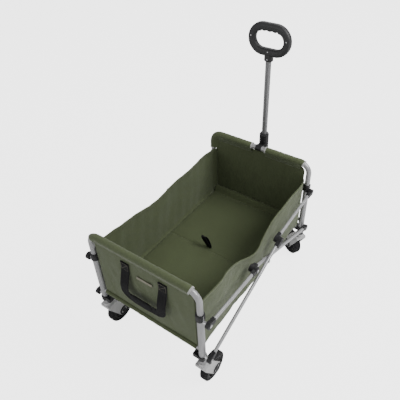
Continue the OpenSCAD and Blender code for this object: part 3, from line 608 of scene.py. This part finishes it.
class WAGON_OT_end_walls(bpy.types.Operator):
    """Makes the two end walls with their sleeves, hems, bindings and stitching"""

    bl_idname = "wagon.end_walls"
    bl_label = "End walls"

    def execute(self, context):
        k = context.scene.wagon_sizes
        for end, label in ((-1, "rear"), (1, "front")):
            plane, out, body = end_facts(end)
            pts, uv = wall_surface(end)
            wall = thicken(grid_object(f"{label}_wall", pts, uv=uv), k.cloth)
            dress(wall, "tub_cloth", body)
            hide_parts(f"{label}_end_panel")
            if end < 0:
                spans = [(-FLAT_X - 0.034, FLAT_X + 0.014)]
            else:
                spans = [(-FLAT_X - 0.102, -HANDLE_ROOM), (HANDLE_ROOM, FLAT_X + 0.018)]
            for i, (s0, s1) in enumerate(spans):
                self.sleeve(f"{label}_sleeve_{i}", s0, s1, plane, k, body)
                for j, s in enumerate((s0, s1)):
                    self.binding(f"{label}_binding_{i}{j}", s, plane, k, body)
                at, away = bar_path(np.linspace(s0 + 0.004, s1 - 0.004, 90))
                line = at - away * (k.sleeve_drop - 0.004)
                for side in (-1, 1):
                    seam = points_of(line[:, 0], plane + side * 0.0034, line[:, 1])
                    name = f"{label}_seam_{i}_{'in' if side * out < 0 else 'out'}"
                    stitches(name, seam, (0, side, 0), k.stitch, body)
            self.hem(f"{label}_hem", plane, body)
            reach = WALL_X - 0.001
            gaps = [(-reach, reach)] if end < 0 else [(-reach, -0.030), (0.030, reach)]
            for i, (x0, x1) in enumerate(gaps):
                line = points_of(np.linspace(x0, x1, 60), plane + out * 0.0045, CROSS_Z - CROSS_R - 0.0022)
                piping(f"{label}_piping_{i}", line, body)
        return {"FINISHED"}

    def sleeve(self, name, s0, s1, plane, k, body):
        """A teardrop profile round the top bar: an arc of the bar's radius plus a gap, then two straight
        runs to the seam, carried along the bar's own line with small puckers that fade towards the ends."""
        r = TUBE_R + k.sleeve_gap
        a = np.radians(np.linspace(-118, 118, 41))
        arc = np.stack([r * np.sin(a), r * np.cos(a)], 1)
        tail = np.stack([np.array([0.0024, 0.0016, -0.0016, -0.0024]),
                         np.array([-1, -1.06, -1.06, -1]) * k.sleeve_drop], 1)
        f = np.linspace(0, 1, 9)[1:-1, None]
        down = arc[-1] * (1 - f) + tail[0] * f
        up = tail[3] * (1 - f) + arc[0] * f
        prof = np.concatenate([arc, down, tail, up])
        s = np.linspace(s0, s1, 120)
        at, away = bar_path(s)
        puck = 0.0007 * ripple(s[:, None] / 0.05, prof[None, :, 1] / 0.05, 31, 1.0, 3)
        calm = np.clip(np.minimum(s - s0, s1 - s) / 0.02, 0, 1)[:, None]
        grow = 1 + puck * calm / r
        high = prof[None, :, 1]
        pts = points_of(at[:, None, 0] + away[:, None, 0] * high * grow, plane + prof[None, :, 0] * grow,
                        at[:, None, 1] + away[:, None, 1] * high * grow)
        length = np.concatenate([[0], np.cumsum(np.linalg.norm(np.diff(prof, axis=0), axis=1))])
        obj = grid_object(name, pts, wrap_v=True, uv=flat_map(s[:, None], length[None, :]))
        thicken(obj, k.cloth)
        return dress(obj, "tub_cloth", body)

    def binding(self, name, s, plane, k, body):
        """A light tape round a sleeve's end: a flat section carried round the teardrop's arc."""
        r = TUBE_R + k.sleeve_gap
        a = np.radians(np.linspace(-128, 128, 60))
        at, away = bar_path(np.array([s]))
        along = np.array([away[0, 1], 0, -away[0, 0]])
        path = np.stack([at[0, 0] + away[0, 0] * r * np.cos(a), plane + r * np.sin(a),
                         at[0, 1] + away[0, 1] * r * np.cos(a)], 1)
        pts = swept(path, slab_profile(0.007, 0.0034, 6), along)
        return dress(closed_tube(name, pts, pts[..., :2]), "binding", body)

    def hem(self, name, plane, body):
        """A circle round the cross tube, carried along x, with light puckers."""
        n, m = 100, 32
        reach = WALL_X - 0.002
        x = np.linspace(-reach, reach, n)[:, None]
        a = np.linspace(0, 2 * np.pi, m, endpoint=False)[None, :]
        r = CROSS_R + 0.0018 + 0.0006 * ripple(x / 0.04, a / 6.0, 47, 1.0, 3)
        pts = points_of(x, plane + r * np.cos(a), CROSS_Z + r * np.sin(a))
        uv = flat_map(x, a * 0.01)
        if name.startswith("front"):
            faces = [f for f in grid_faces(n, m, wrap_v=True) if abs(x[f[0] // m, 0]) > HANDLE_ROOM * 0.72]
            obj = new_object(name, pts, faces, uv=uv)
        else:
            obj = grid_object(name, pts, wrap_v=True, uv=uv)
        thicken(obj, 0.0014)
        return dress(obj, "tub_cloth", body)


def side_top(y, side):
    """Height of a side wall's top edge along the wagon: high at the corners, dipping near the middle by a
    bell curve, and falling slightly towards the handle end."""
    d = y - MID_Y
    if side > 0:
        return 0.484 - 0.080 * np.exp(-(((d + 0.015) / 0.135) ** 2)) - 0.015 * d
    return 0.492 - 0.020 * np.exp(-(((d + 0.060) / 0.095) ** 2)) - 0.026 * (d + 0.35)


def side_path(side, n):
    """Plan of a side wall: a straight run whose two ends turn inwards behind the legs to meet the end
    walls."""
    turn_in, bend = 0.0108, 0.030
    s = np.linspace(-1, 1, n)
    y = SIDE_MID.y + SIDE_REACH * s
    near = np.clip((np.abs(y - SIDE_MID.y) - (SIDE_REACH - bend)) / bend, 0, 1)
    return side * (abs(SIDE_MID.x) - turn_in * near**2), y, s


def side_surface(side):
    """A side wall as a function of length and height: the plan path, lifted from the floor to the top edge,
    with the foot turned inwards, long soft folds that grow towards the free top edge, and fine creases."""
    nu, nv = 261, 61
    x, y, s = side_path(side, nu)
    t = np.linspace(0, 1, nv)[None, :]
    top = side_top(y, side)[:, None]
    z = SIDE_FOOT + (top - SIDE_FOOT) * t
    free = np.clip(1 - np.abs(s) ** 8, 0, 1)[:, None]
    yy, xx = y[:, None], x[:, None]
    folds = 0.0042 * np.sin((yy - MID_Y) * 2 * np.pi / 0.31 + 0.8 + 1.2 * t) * t**1.5
    lean = -0.007 * np.exp(-(((yy - MID_Y) / 0.13) ** 2)) * t**2
    crease = 0.0030 * ripple(yy / 0.20, z / 0.30, 5 + int(side), 0.9, 4)
    foot = -0.010 * (1 - np.clip(t / 0.10, 0, 1)) ** 2
    return points_of(xx + side * (folds + lean + crease + foot) * free, yy, z), flat_map(yy, z)


def fold_squash(obj):
    """Gives a piece its own copy of its mesh."""
    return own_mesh(obj)


class WAGON_OT_side_walls(bpy.types.Operator):
    """Makes the two side walls with their rolled top hems and stitching"""

    bl_idname = "wagon.side_walls"
    bl_label = "Side walls"

    def execute(self, context):
        k = context.scene.wagon_sizes
        for side, label in ((1, "right"), (-1, "left")):
            pts, uv = side_surface(side)
            wall = thicken(grid_object(f"{label}_side_wall", pts, uv=uv), k.cloth)
            dress(wall, "tub_cloth", "rear_frame")
            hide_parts(f"{label}_side_panel")
            edge = pts[:, -1, :]
            roll = ring_profile(k.hem, 10, k.hem * 1.9)
            tube = swept(edge - np.array([0, 0, k.hem * 1.2]), roll, (1, 0, 0))
            hem = closed_tube(f"{label}_top_hem", tube, tube[..., 1:])
            dress(hem, "tub_cloth", "rear_frame")
            more = [hem]
            for inner in (-1, 1):
                seam = pts[4:-4, -5, :] + np.array([side * inner * 0.0011, 0, 0])
                more.append(stitches(f"{label}_side_seam_{'in' if inner < 0 else 'out'}", seam,
                                     (side * inner, 0, 0), k.stitch, "rear_frame", 1.6))
            foot = pts[:, 0, :] - np.array([0, 0, 0.0012])
            more.append(piping(f"{label}_foot_piping", foot, "rear_frame"))
            for piece in [wall] + more:
                fold_squash(piece)
        return {"FINISHED"}


class WAGON_OT_floor(bpy.types.Operator):
    """Makes the cloth-covered floor halves, the strips that join them to the end walls, and the pull loop"""

    bl_idname = "wagon.floor"
    bl_label = "Floor"

    def execute(self, context):
        far = JOINT["front_floor_fold"]["pos_m"][1] - MID_Y - 0.010
        for end, label, y0, y1 in ((-1, "rear", MID_Y - far, SEAM_Y + SEAM_PRESS),
                                   (1, "front", SEAM_Y - SEAM_PRESS, MID_Y + far)):
            self.cover(f"{label}_floor_cover", y0, y1, end, f"{label}_floor")
            self.strip(f"{label}_floor_strip", end, far, label)
        self.loop()
        return {"FINISHED"}

    def cover(self, name, y0, y1, end, body):
        """A thin pillow: top and bottom heights fall to the edge by a power of the distance to it, with
        shallow dimples along the seam edge."""
        nx, ny = 121, 101
        puff_up, puff_down = 0.0064, 0.0030
        half = WALL_X - 0.0005
        s, t = grid_axes(nx, ny)
        sx = np.sign(s) * (1 - (1 - np.abs(s)) ** 1.6)
        ty = np.sign(t) * (1 - (1 - np.abs(t)) ** 1.6)
        x = half * sx + 0 * ty
        y = (y0 + y1) / 2 + (y1 - y0) / 2 * ty + 0 * sx
        puff = (1 - np.abs(sx) ** 14) * (1 - np.abs(ty) ** 14)
        soft = np.clip(puff, 0, 1) ** 0.35
        crown = 0.0011 * ripple(x / 0.3, y / 0.3, 61 + end, 1.0, 3) * puff
        dimple = -0.0010 * np.abs(np.sin(x * np.pi / 0.034)) * smooth_step((0.03 - np.abs(y - SEAM_Y)) / 0.03)
        top = BOARD_Z + puff_up * soft + crown + dimple * puff
        low = BOARD_Z - puff_down * soft - 0.001
        top[[0, -1], :] = low[[0, -1], :] = BOARD_Z
        top[:, [0, -1]] = low[:, [0, -1]] = BOARD_Z
        upper = np.stack([x, y, top], -1).reshape(-1, 3)
        lower = np.stack([x, y, low], -1).reshape(-1, 3)
        faces = grid_faces(nx, ny) + [f[::-1] for f in grid_faces(nx, ny, start=nx * ny)]
        both = np.concatenate([upper, lower])
        obj = fix_normals(new_object(name, both, faces, uv=both[:, :2]))
        dress(obj, "floor_cloth", body)
        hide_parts("rear_floor_board" if end < 0 else "front_floor_board")
        return obj

    def strip(self, name, end, far, label):
        """The cloth between a floor half and its end wall: a shallow curve from the board's edge up to the hem,
        carried along x across the line of the floor's hinge; it rides on no body."""
        plane, out, body = end_facts(end)
        half = WALL_X - 0.001
        board = MID_Y + out * far
        wall = plane - out * 0.004
        t = np.linspace(0, 1, 15)[None, :]
        x = np.linspace(-half, half, 61)[:, None]
        y = board - out * 0.006 + (wall - board + out * 0.006) * t + 0 * x
        rise = (CROSS_Z + CROSS_R - BOARD_Z) * smooth_step((t - 0.05) / 0.6) * 1.02
        z = BOARD_Z + 0.0035 + rise + 0.0006 * ripple(x / 0.06, t, 71, 1, 3)
        pts = points_of(x, y, z)
        obj = thicken(grid_object(name, pts, uv=pts[..., :2]), 0.0012)
        dress(obj, "floor_cloth")
        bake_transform(obj)

    def loop(self):
        """The pull loop: a narrow upright loop of webbing, leaning back a little, its section carried round
        the loop."""
        low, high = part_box("pull_strap")
        x = (low.x + high.x) / 2
        y = (low.y + high.y) / 2
        base = BOARD_HIGH.z + 0.0005
        t = np.linspace(0, 1, 60)
        rise = 0.058
        spread_y = 0.0062 * np.sin(np.pi * t) ** 0.6 * np.cos(np.pi * t)
        height = base + rise * np.sin(np.pi * t) ** 0.75
        lean = -0.004 * (height - base) / rise
        side_lean = -0.024 * ((height - base) / rise) ** 1.4
        path = np.stack([x + side_lean, y + spread_y * 1.6 + lean, height], 1)
        prof = slab_profile(0.0235, 0.0022, 6)
        pts = swept(path, prof, (1, 0, 0))
        obj = closed_tube("pull_loop", pts, pts[..., [0, 2]])
        dress(obj, "strap_webbing", "front_floor")
        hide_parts("pull_strap")
        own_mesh(obj)


class WAGON_OT_straps(bpy.types.Operator):
    """Makes the carry strap, its stitching and the blank tag on the rear wall"""

    bl_idname = "wagon.straps"
    bl_label = "Carry strap and tag"

    def execute(self, context):
        k = context.scene.wagon_sizes
        low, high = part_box("carry_strap")
        mid_x, half = (low.x + high.x) / 2 + 0.009, (high.x - low.x) / 2 - k.webbing / 2 - 0.007
        y = REAR_Y - 0.0052  # just clear of the wall's outside
        bow = (high.y - low.y) - 0.004
        top = high.z
        bend = k.webbing / 2 + 0.002
        low_z = low.z + k.webbing / 2
        turn = np.linspace(0, np.pi / 2, 16)[1:-1]
        down = np.linspace(top, low_z + bend, 40)
        side_x = np.concatenate([np.full(40, -half), -half + bend * (1 - np.cos(turn))])
        side_z = np.concatenate([down, low_z + bend * (1 - np.sin(turn))])
        run = np.linspace(-half + bend, half - bend, 40)
        x = np.concatenate([side_x, run, -side_x[::-1]])
        z = np.concatenate([side_z, np.full(40, low_z) - 0.004 * np.cos(run / half * 1.2), side_z[::-1]])
        out = bow * smooth_step((top - 0.022 - z) / (top - 0.022 - low_z - 0.030))
        path = np.stack([x + mid_x, y - out, z], 1)
        prof = slab_profile(k.webbing, 0.0026, 6)
        points = swept(path, prof[:, ::-1], (0, 1, 0))
        run = np.concatenate([[0], np.cumsum(np.linalg.norm(np.diff(path, axis=0), axis=1))])
        uv = flat_map(run[:, None], prof[None, :, 0])
        strap = closed_tube("carry_webbing", points, uv)
        dress(strap, "strap_webbing", "rear_frame")
        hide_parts("carry_strap")
        self.wrap(path, half)
        for s in (-1, 1):
            cx = mid_x + s * half
            w, h = k.webbing / 2 - 0.004, 0.015
            zc = top - 0.020
            f = np.linspace(0, 5, 120)  # round a box from its lower left corner, then across it
            box_x = np.interp(f, np.arange(6), [cx - w, cx + w, cx + w, cx - w, cx - w, cx + w])
            box_z = np.interp(f, np.arange(6), [zc - h, zc - h, zc + h, zc + h, zc - h, zc + h])
            seam = stitches(f"carry_stitch_{'left' if s < 0 else 'right'}",
                            points_of(box_x, y - 0.0022, box_z), (0, -1, 0), k.stitch * 0.8, "rear_frame")
            seam.data.materials.clear()
            seam.data.materials.append(bpy.data.materials["tag"])
        self.tag()
        return {"FINISHED"}

    def wrap(self, path, half):
        """A soft hand wrap round the strap's lowest stretch: an oval section carried along it, thinner at
        its ends."""
        keep = path[np.abs(path[:, 0]) < half * 0.62]
        s = np.linspace(-1, 1, len(keep))
        swell = (1 - np.abs(s) ** 10)[:, None] * 0.55 + 0.45
        _, face, across = frames(keep, (0, 1, 0))
        ring = ring_profile(1.0, 24)
        a = 0.0200 * ring[None, :, 0, None] * swell[..., None]
        b = 0.0048 * squarish(ring[None, :, 1, None], 0.6) * swell[..., None]
        points = keep[:, None, :] + a * across[:, None, :] + b * face[:, None, :]
        obj = closed_tube("carry_hand_wrap", points, points[..., [0, 2]])
        dress(obj, "strap_webbing", "rear_frame")

    def tag(self):
        """A blank woven tag: a thin rounded plate on the rear wall with a stitched border."""
        x0, x1, z0, z1 = -0.024, 0.046, 0.4585, 0.4705
        s, t = grid_axes(41, 13)
        x = (x0 + x1) / 2 + (x1 - x0) / 2 * s
        z = (z0 + z1) / 2 + (z1 - z0) / 2 * t
        lift = 0.0007 * ((1 - np.abs(s) ** 8) * (1 - np.abs(t) ** 8)) ** 0.5
        pts = points_of(x, REAR_Y - 0.0062 - lift, z)
        obj = thicken(grid_object("blank_tag", pts, uv=pts[..., [0, 2]]), 0.0008)
        dress(obj, "tag", "rear_frame")


# ------------------------------------------------------------------ wheels and grip


def axle_facts(joint):
    """Centre and axis of a wheel from its joint."""
    j = JOINT[joint]
    return np.array(j["pos_m"]), np.array(j["axis"]) / np.linalg.norm(j["axis"])


def wheel_basis(axis):
    """Two unit directions square to the wheel's axis: up, and the one that completes the set."""
    up = np.array([0.0, 0.0, 1.0])
    return up, np.cross(axis, up)


class WAGON_OT_wheels(bpy.types.Operator):
    """Makes the treaded tyres and the spoked hub faces"""

    bl_idname = "wagon.wheels"
    bl_label = "Wheels"

    def execute(self, context):
        for name in ("rear_right", "rear_left", "front_right", "front_left"):
            body = f"{name}_wheel"
            centre, axis = axle_facts(f"{name}_spin")
            self.tyre(f"{name}_tread", centre, axis, body, f"{name}_tyre")
            for face in (-1, 1):
                self.hub_face(f"{name}_hub_face_{'in' if face < 0 else 'out'}", centre, axis * face, body)
        return {"FINISHED"}

    def tyre(self, name, centre, axis, body, node):
        """A ring section turned round the axle. Its outer radius is cut back by grooves: a row of slanted
        cuts on each shoulder, half a pitch apart, and two zigzag channels round the middle."""
        turns, pitch = 360, 30
        half = WHEEL_W / 2
        shoulder = 0.0075
        inner = [(-half + 0.003, HUB_R), (-half + 0.0005, HUB_R + 0.003), (-half, HUB_R + 0.007)]
        q = np.abs(np.linspace(-1, 1, 61))
        crown = WHEEL_R - 0.0008 * q**2 - shoulder * np.clip((q - 0.62) / 0.38, 0, 1) ** 2.4
        prof_w = np.concatenate([[p[0] for p in inner], np.linspace(-half, half, 61),
                                 [-p[0] for p in inner[::-1]]])
        prof_r = np.concatenate([[p[1] for p in inner], crown, [p[1] for p in inner[::-1]]])
        a = np.linspace(0, 2 * np.pi, turns, endpoint=False)[:, None]
        u = prof_w[None, :] / half
        side = np.sign(u)
        phase = a * pitch / (2 * np.pi) + 0.25 * side + 0.35 * np.abs(u)
        cut = smooth_step((np.abs((phase % 1) - 0.5) * 2 - 0.62) / 0.16)
        on_block = smooth_step((np.abs(u) - 0.34) / 0.05)
        zig = 0.20 + 0.05 * np.sign(np.sin(a * pitch))
        channel = smooth_step(1 - np.abs(np.abs(u) - zig) / 0.075)
        nick = smooth_step((np.abs(((phase + 0.3) % 1) - 0.5) * 2 - 0.72) / 0.14)
        middle = nick * (1 - on_block) * (np.abs(u) < 0.16)
        outer = (prof_r > HUB_R + 0.012)[None, :]
        depth = 0.0032 * np.maximum(np.maximum(cut * on_block, channel), middle * 0.8) * outer
        r = prof_r[None, :] - depth
        up, across = wheel_basis(axis)
        pts = (centre + r[..., None] * (np.cos(a)[..., None] * up + np.sin(a)[..., None] * across)
               + np.broadcast_to(prof_w[None, :, None], (turns, len(prof_w), 1)) * axis)
        uv = flat_map(a * WHEEL_R, prof_w[None, :])
        obj = closed_ring(name, pts, uv)
        dress(obj, "tyre_rubber", body)
        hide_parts(node)

    def hub_face(self, name, centre, axis, body):
        """A raised ring and five spokes on a hub's face: height above the web as a function of radius and
        angle, made a closed plate by a flat back."""
        turns, rings = 160, 28
        a = np.linspace(0, 2 * np.pi, turns, endpoint=False)[:, None]
        r = np.linspace(0.0185, HUB_R - 0.0055, rings)[None, :]
        spoke = smooth_step((np.cos(5 * a) - 0.15) / 0.35)
        rim = smooth_step((r - (HUB_R - 0.0125)) / 0.003)
        boss = smooth_step((0.0225 - r) / 0.002)
        high = 0.0045 + 0.0062 * np.maximum(np.maximum(spoke * 0.85, rim), boss)
        up, across = wheel_basis(axis)
        flat = r[..., None] * (np.cos(a)[..., None] * up + np.sin(a)[..., None] * across)
        front = centre + flat + high[..., None] * axis
        back = centre + flat + 0.0035 * axis
        pts = np.concatenate([front, back[:, ::-1]], 1)
        obj = closed_ring(name, pts, pts[..., 1:])
        dress(obj, "boot_plastic", body)


class WAGON_OT_grip(bpy.types.Operator):
    """Makes the rounded loop of the pull grip with its neck and parting groove"""

    bl_idname = "wagon.grip"
    bl_label = "Grip"

    def execute(self, context):
        axis = np.array(HANDLE_AXIS.normalized())
        across = np.array([1.0, 0, 0])
        face = np.cross(across, axis)
        foot = np.array(HANDLE_FOOT)
        top = (Vector(GRIP_HIGH) - HANDLE_FOOT).dot(HANDLE_AXIS.normalized()) - 0.0001
        height, rim, thick = 0.126, 0.030, 0.028
        centre = foot + axis * (top - height / 2)
        r_end = height / 2 - rim / 2
        u, v, nu, nv = self.outline(GRIP_HIGH.x - GRIP_LOW.x - height, r_end, 220)
        q = np.linspace(0, 2 * np.pi, 40, endpoint=False)
        ca, sa = squarish(np.cos(q), 0.72), squarish(np.sin(q), 0.72)
        groove = 1 - 0.035 * np.exp(-((np.abs(np.sin(q)) / 0.10) ** 2))
        finger = 0.0030 * (0.5 + 0.5 * np.cos(2 * np.pi * u / 0.023)) * smooth_step((v / r_end - 0.7) / 0.25)
        a = rim / 2 * ca * groove - finger[:, None] * np.clip(-ca, 0, 1)
        b = (thick / 2 * sa * groove)[None, :]
        uu = u[:, None] + nu[:, None] * a
        vv = v[:, None] + nv[:, None] * a
        pts = centre + uu[..., None] * across + vv[..., None] * axis + b[..., None] * face
        loop = closed_ring("grip_loop", pts, pts[..., [0, 2]])
        dress(loop, "grip_moulding", "handle_slider")
        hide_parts("grip_front_half", "grip_rear_half")
        self.neck(centre, axis, across, face, height, rim)
        return {"FINISHED"}

    def outline(self, run, r, n):
        """A loop of two straights and two half circles, by distance along it from the lower left: points
        (u, v) and the direction (u, v) that points out of the loop."""
        turn = np.pi * r
        d = np.linspace(0, 2 * run + 2 * turn, n, endpoint=False)
        spans = [d < run, d < run + turn, d < 2 * run + turn]
        first, last = (d - run) / r - np.pi / 2, (d - 2 * run - turn) / r + np.pi / 2
        angle = np.select(spans, [-np.pi / 2, first, np.pi / 2], last)
        mid = np.select(spans, [d - run / 2, run / 2, run / 2 - (d - run - turn)], -run / 2)
        nu, nv = np.cos(angle), np.sin(angle)
        return mid + r * nu, r * nv, nu, nv

    def neck(self, centre, axis, across, face, height, rim):
        """The neck below the loop: a rounded section that flares upwards into the loop, carried along the
        tube."""
        n, m = 40, 40
        t = np.linspace(0, 1, n)[:, None]
        q = np.linspace(0, 2 * np.pi, m, endpoint=False)[None, :]
        along = -height / 2 - 0.0200 + t * (0.0200 + rim * 0.62)
        flare = 0.0178 + 0.0115 * smooth_step((t - 0.45) / 0.55) ** 1.5
        deep = 0.0136 - 0.0006 * t
        ca, sa = squarish(np.cos(q), 0.8), squarish(np.sin(q), 0.8)
        edge = 1 - 0.12 * np.clip(1 - t / 0.06, 0, 1) ** 2
        pts = (centre + (flare * edge * ca)[..., None] * across + (deep * edge * sa)[..., None] * face
               + (along + 0 * q)[..., None] * axis)
        obj = closed_tube("grip_neck", pts, pts[..., [0, 2]])
        dress(obj, "grip_moulding", "handle_slider")


# ------------------------------------------------------------------ stage


class WAGON_OT_stage(bpy.types.Operator):
    """Makes the pale floor, the soft lights and the camera"""

    bl_idname = "wagon.stage"
    bl_label = "Stage"

    def execute(self, context):
        scene = context.scene
        reach = np.linspace(-40.0, 40.0, 3)
        pts = points_of(reach[:, None], reach[None, :], -0.0005)
        floor = grid_object("studio_floor", pts, uv=pts[..., :2])
        tree, shader, _ = start_material("studio_white")
        shader.inputs["Base Color"].default_value = (0.86, 0.86, 0.86, 1)
        shader.inputs["Roughness"].default_value = 0.9
        shader.inputs["Specular IOR Level"].default_value = 0.1
        self.glow(tree, shader, "ShaderNodeEmission", 6.0, 0.55, "Material Output")
        floor.data.materials.append(bpy.data.materials["studio_white"])
        world = bpy.data.worlds.new("studio_air")
        scene.world = world
        world.use_nodes = True
        back = world.node_tree.nodes["Background"]
        back.inputs["Color"].default_value = (1, 1, 1, 1)
        back.inputs["Strength"].default_value = 0.62
        self.glow(world.node_tree, back, "ShaderNodeBackground", 4.4, 1.0, "World Output")
        lamps = (("key", (2.4, 0.7, 2.9), 2.0, 130.0), ("low", (-0.9, -3.4, 1.5), 2.0, 26.0),
                 ("back", (-0.6, 3.0, 2.8), 2.4, 30.0))
        for name, place, size, power in lamps:
            data = bpy.data.lights.new(name, "AREA")
            data.shape = "DISK"
            data.size = size
            data.energy = power
            lamp = bpy.data.objects.new(name, data)
            lamp.location = place
            lamp.rotation_euler = (Vector((0, 0, 0.35)) - Vector(place)).to_track_quat("-Z", "Y").to_euler()
            scene.collection.objects.link(lamp)
        self.camera(scene)
        return {"FINISHED"}

    def glow(self, tree, plain, kind, strength, share, output):
        """Brightens what the camera sees of a backdrop, and leaves the light that it throws on the wagon
        alone."""
        bright = tree.nodes.new(kind)
        bright.inputs["Strength"].default_value = strength
        both = tree.nodes.new("ShaderNodeMixShader")
        seen = tree.nodes.new("ShaderNodeLightPath").outputs["Is Camera Ray"]
        tree.links.new(math_node(tree, "MULTIPLY", seen, share), both.inputs[0])
        tree.links.new(plain.outputs[0], both.inputs[1])
        tree.links.new(bright.outputs[0], both.inputs[2])
        tree.links.new(both.outputs[0], tree.nodes[output].inputs["Surface"])

    def camera(self, scene):
        """Looks down on the wagon from behind its right rear corner."""
        yaw, pitch, roll = math.radians(-37.04), math.radians(40.61), math.radians(-2.62)
        eye = Vector((0.7712, -1.0716 + MID_Y, 1.6728))
        look = Vector((math.sin(yaw) * math.cos(pitch), math.cos(yaw) * math.cos(pitch), -math.sin(pitch)))
        right = look.cross(Vector((0, 0, 1))).normalized()
        up = right.cross(look)
        right2 = right * math.cos(roll) + up * math.sin(roll)
        up2 = up * math.cos(roll) - right * math.sin(roll)
        data = bpy.data.cameras.new("camera")
        data.sensor_width = 36.0
        data.lens = 40.608
        data.clip_end = 60
        cam = bpy.data.objects.new("camera", data)
        cam.matrix_world = Matrix(((right2.x, up2.x, -look.x, eye.x), (right2.y, up2.y, -look.y, eye.y),
                                   (right2.z, up2.z, -look.z, eye.z), (0, 0, 0, 1)))
        scene.collection.objects.link(cam)
        scene.camera = cam


class WAGON_PT_panel(bpy.types.Panel):
    """Lists the wagon's pieces"""

    bl_idname = "WAGON_PT_panel"
    bl_label = "Wagon"
    bl_space_type = "VIEW_3D"
    bl_region_type = "UI"
    bl_category = "Wagon"

    def draw(self, context):
        for group in (context.scene.wagon_sizes, context.scene.wagon_colours):
            for key in group.__annotations__:
                self.layout.prop(group, key)
        for op in STEPS:
            self.layout.operator(op.bl_idname)


STEPS = (WAGON_OT_stage, WAGON_OT_finishes, WAGON_OT_end_walls, WAGON_OT_side_walls, WAGON_OT_floor,
         WAGON_OT_straps, WAGON_OT_wheels, WAGON_OT_grip)
CLASSES = (WagonSizes, WagonColours, *STEPS, WAGON_PT_panel)


def register():
    """Registers the classes and puts the settings on the scene."""
    for cls in CLASSES:
        bpy.utils.register_class(cls)
    bpy.types.Scene.wagon_sizes = bpy.props.PointerProperty(type=WagonSizes)
    bpy.types.Scene.wagon_colours = bpy.props.PointerProperty(type=WagonColours)


def unregister():
    """Undoes register."""
    del bpy.types.Scene.wagon_sizes
    del bpy.types.Scene.wagon_colours
    for cls in reversed(CLASSES):
        bpy.utils.unregister_class(cls)


def main():
    """Builds everything in order."""
    register()
    bpy.ops.wagon.stage()
    bpy.ops.wagon.finishes()
    bpy.ops.wagon.end_walls()
    bpy.ops.wagon.side_walls()
    bpy.ops.wagon.floor()
    bpy.ops.wagon.straps()
    bpy.ops.wagon.wheels()
    bpy.ops.wagon.grip()
    bpy.context.view_layer.update()


if __name__ == "__main__":
    main()
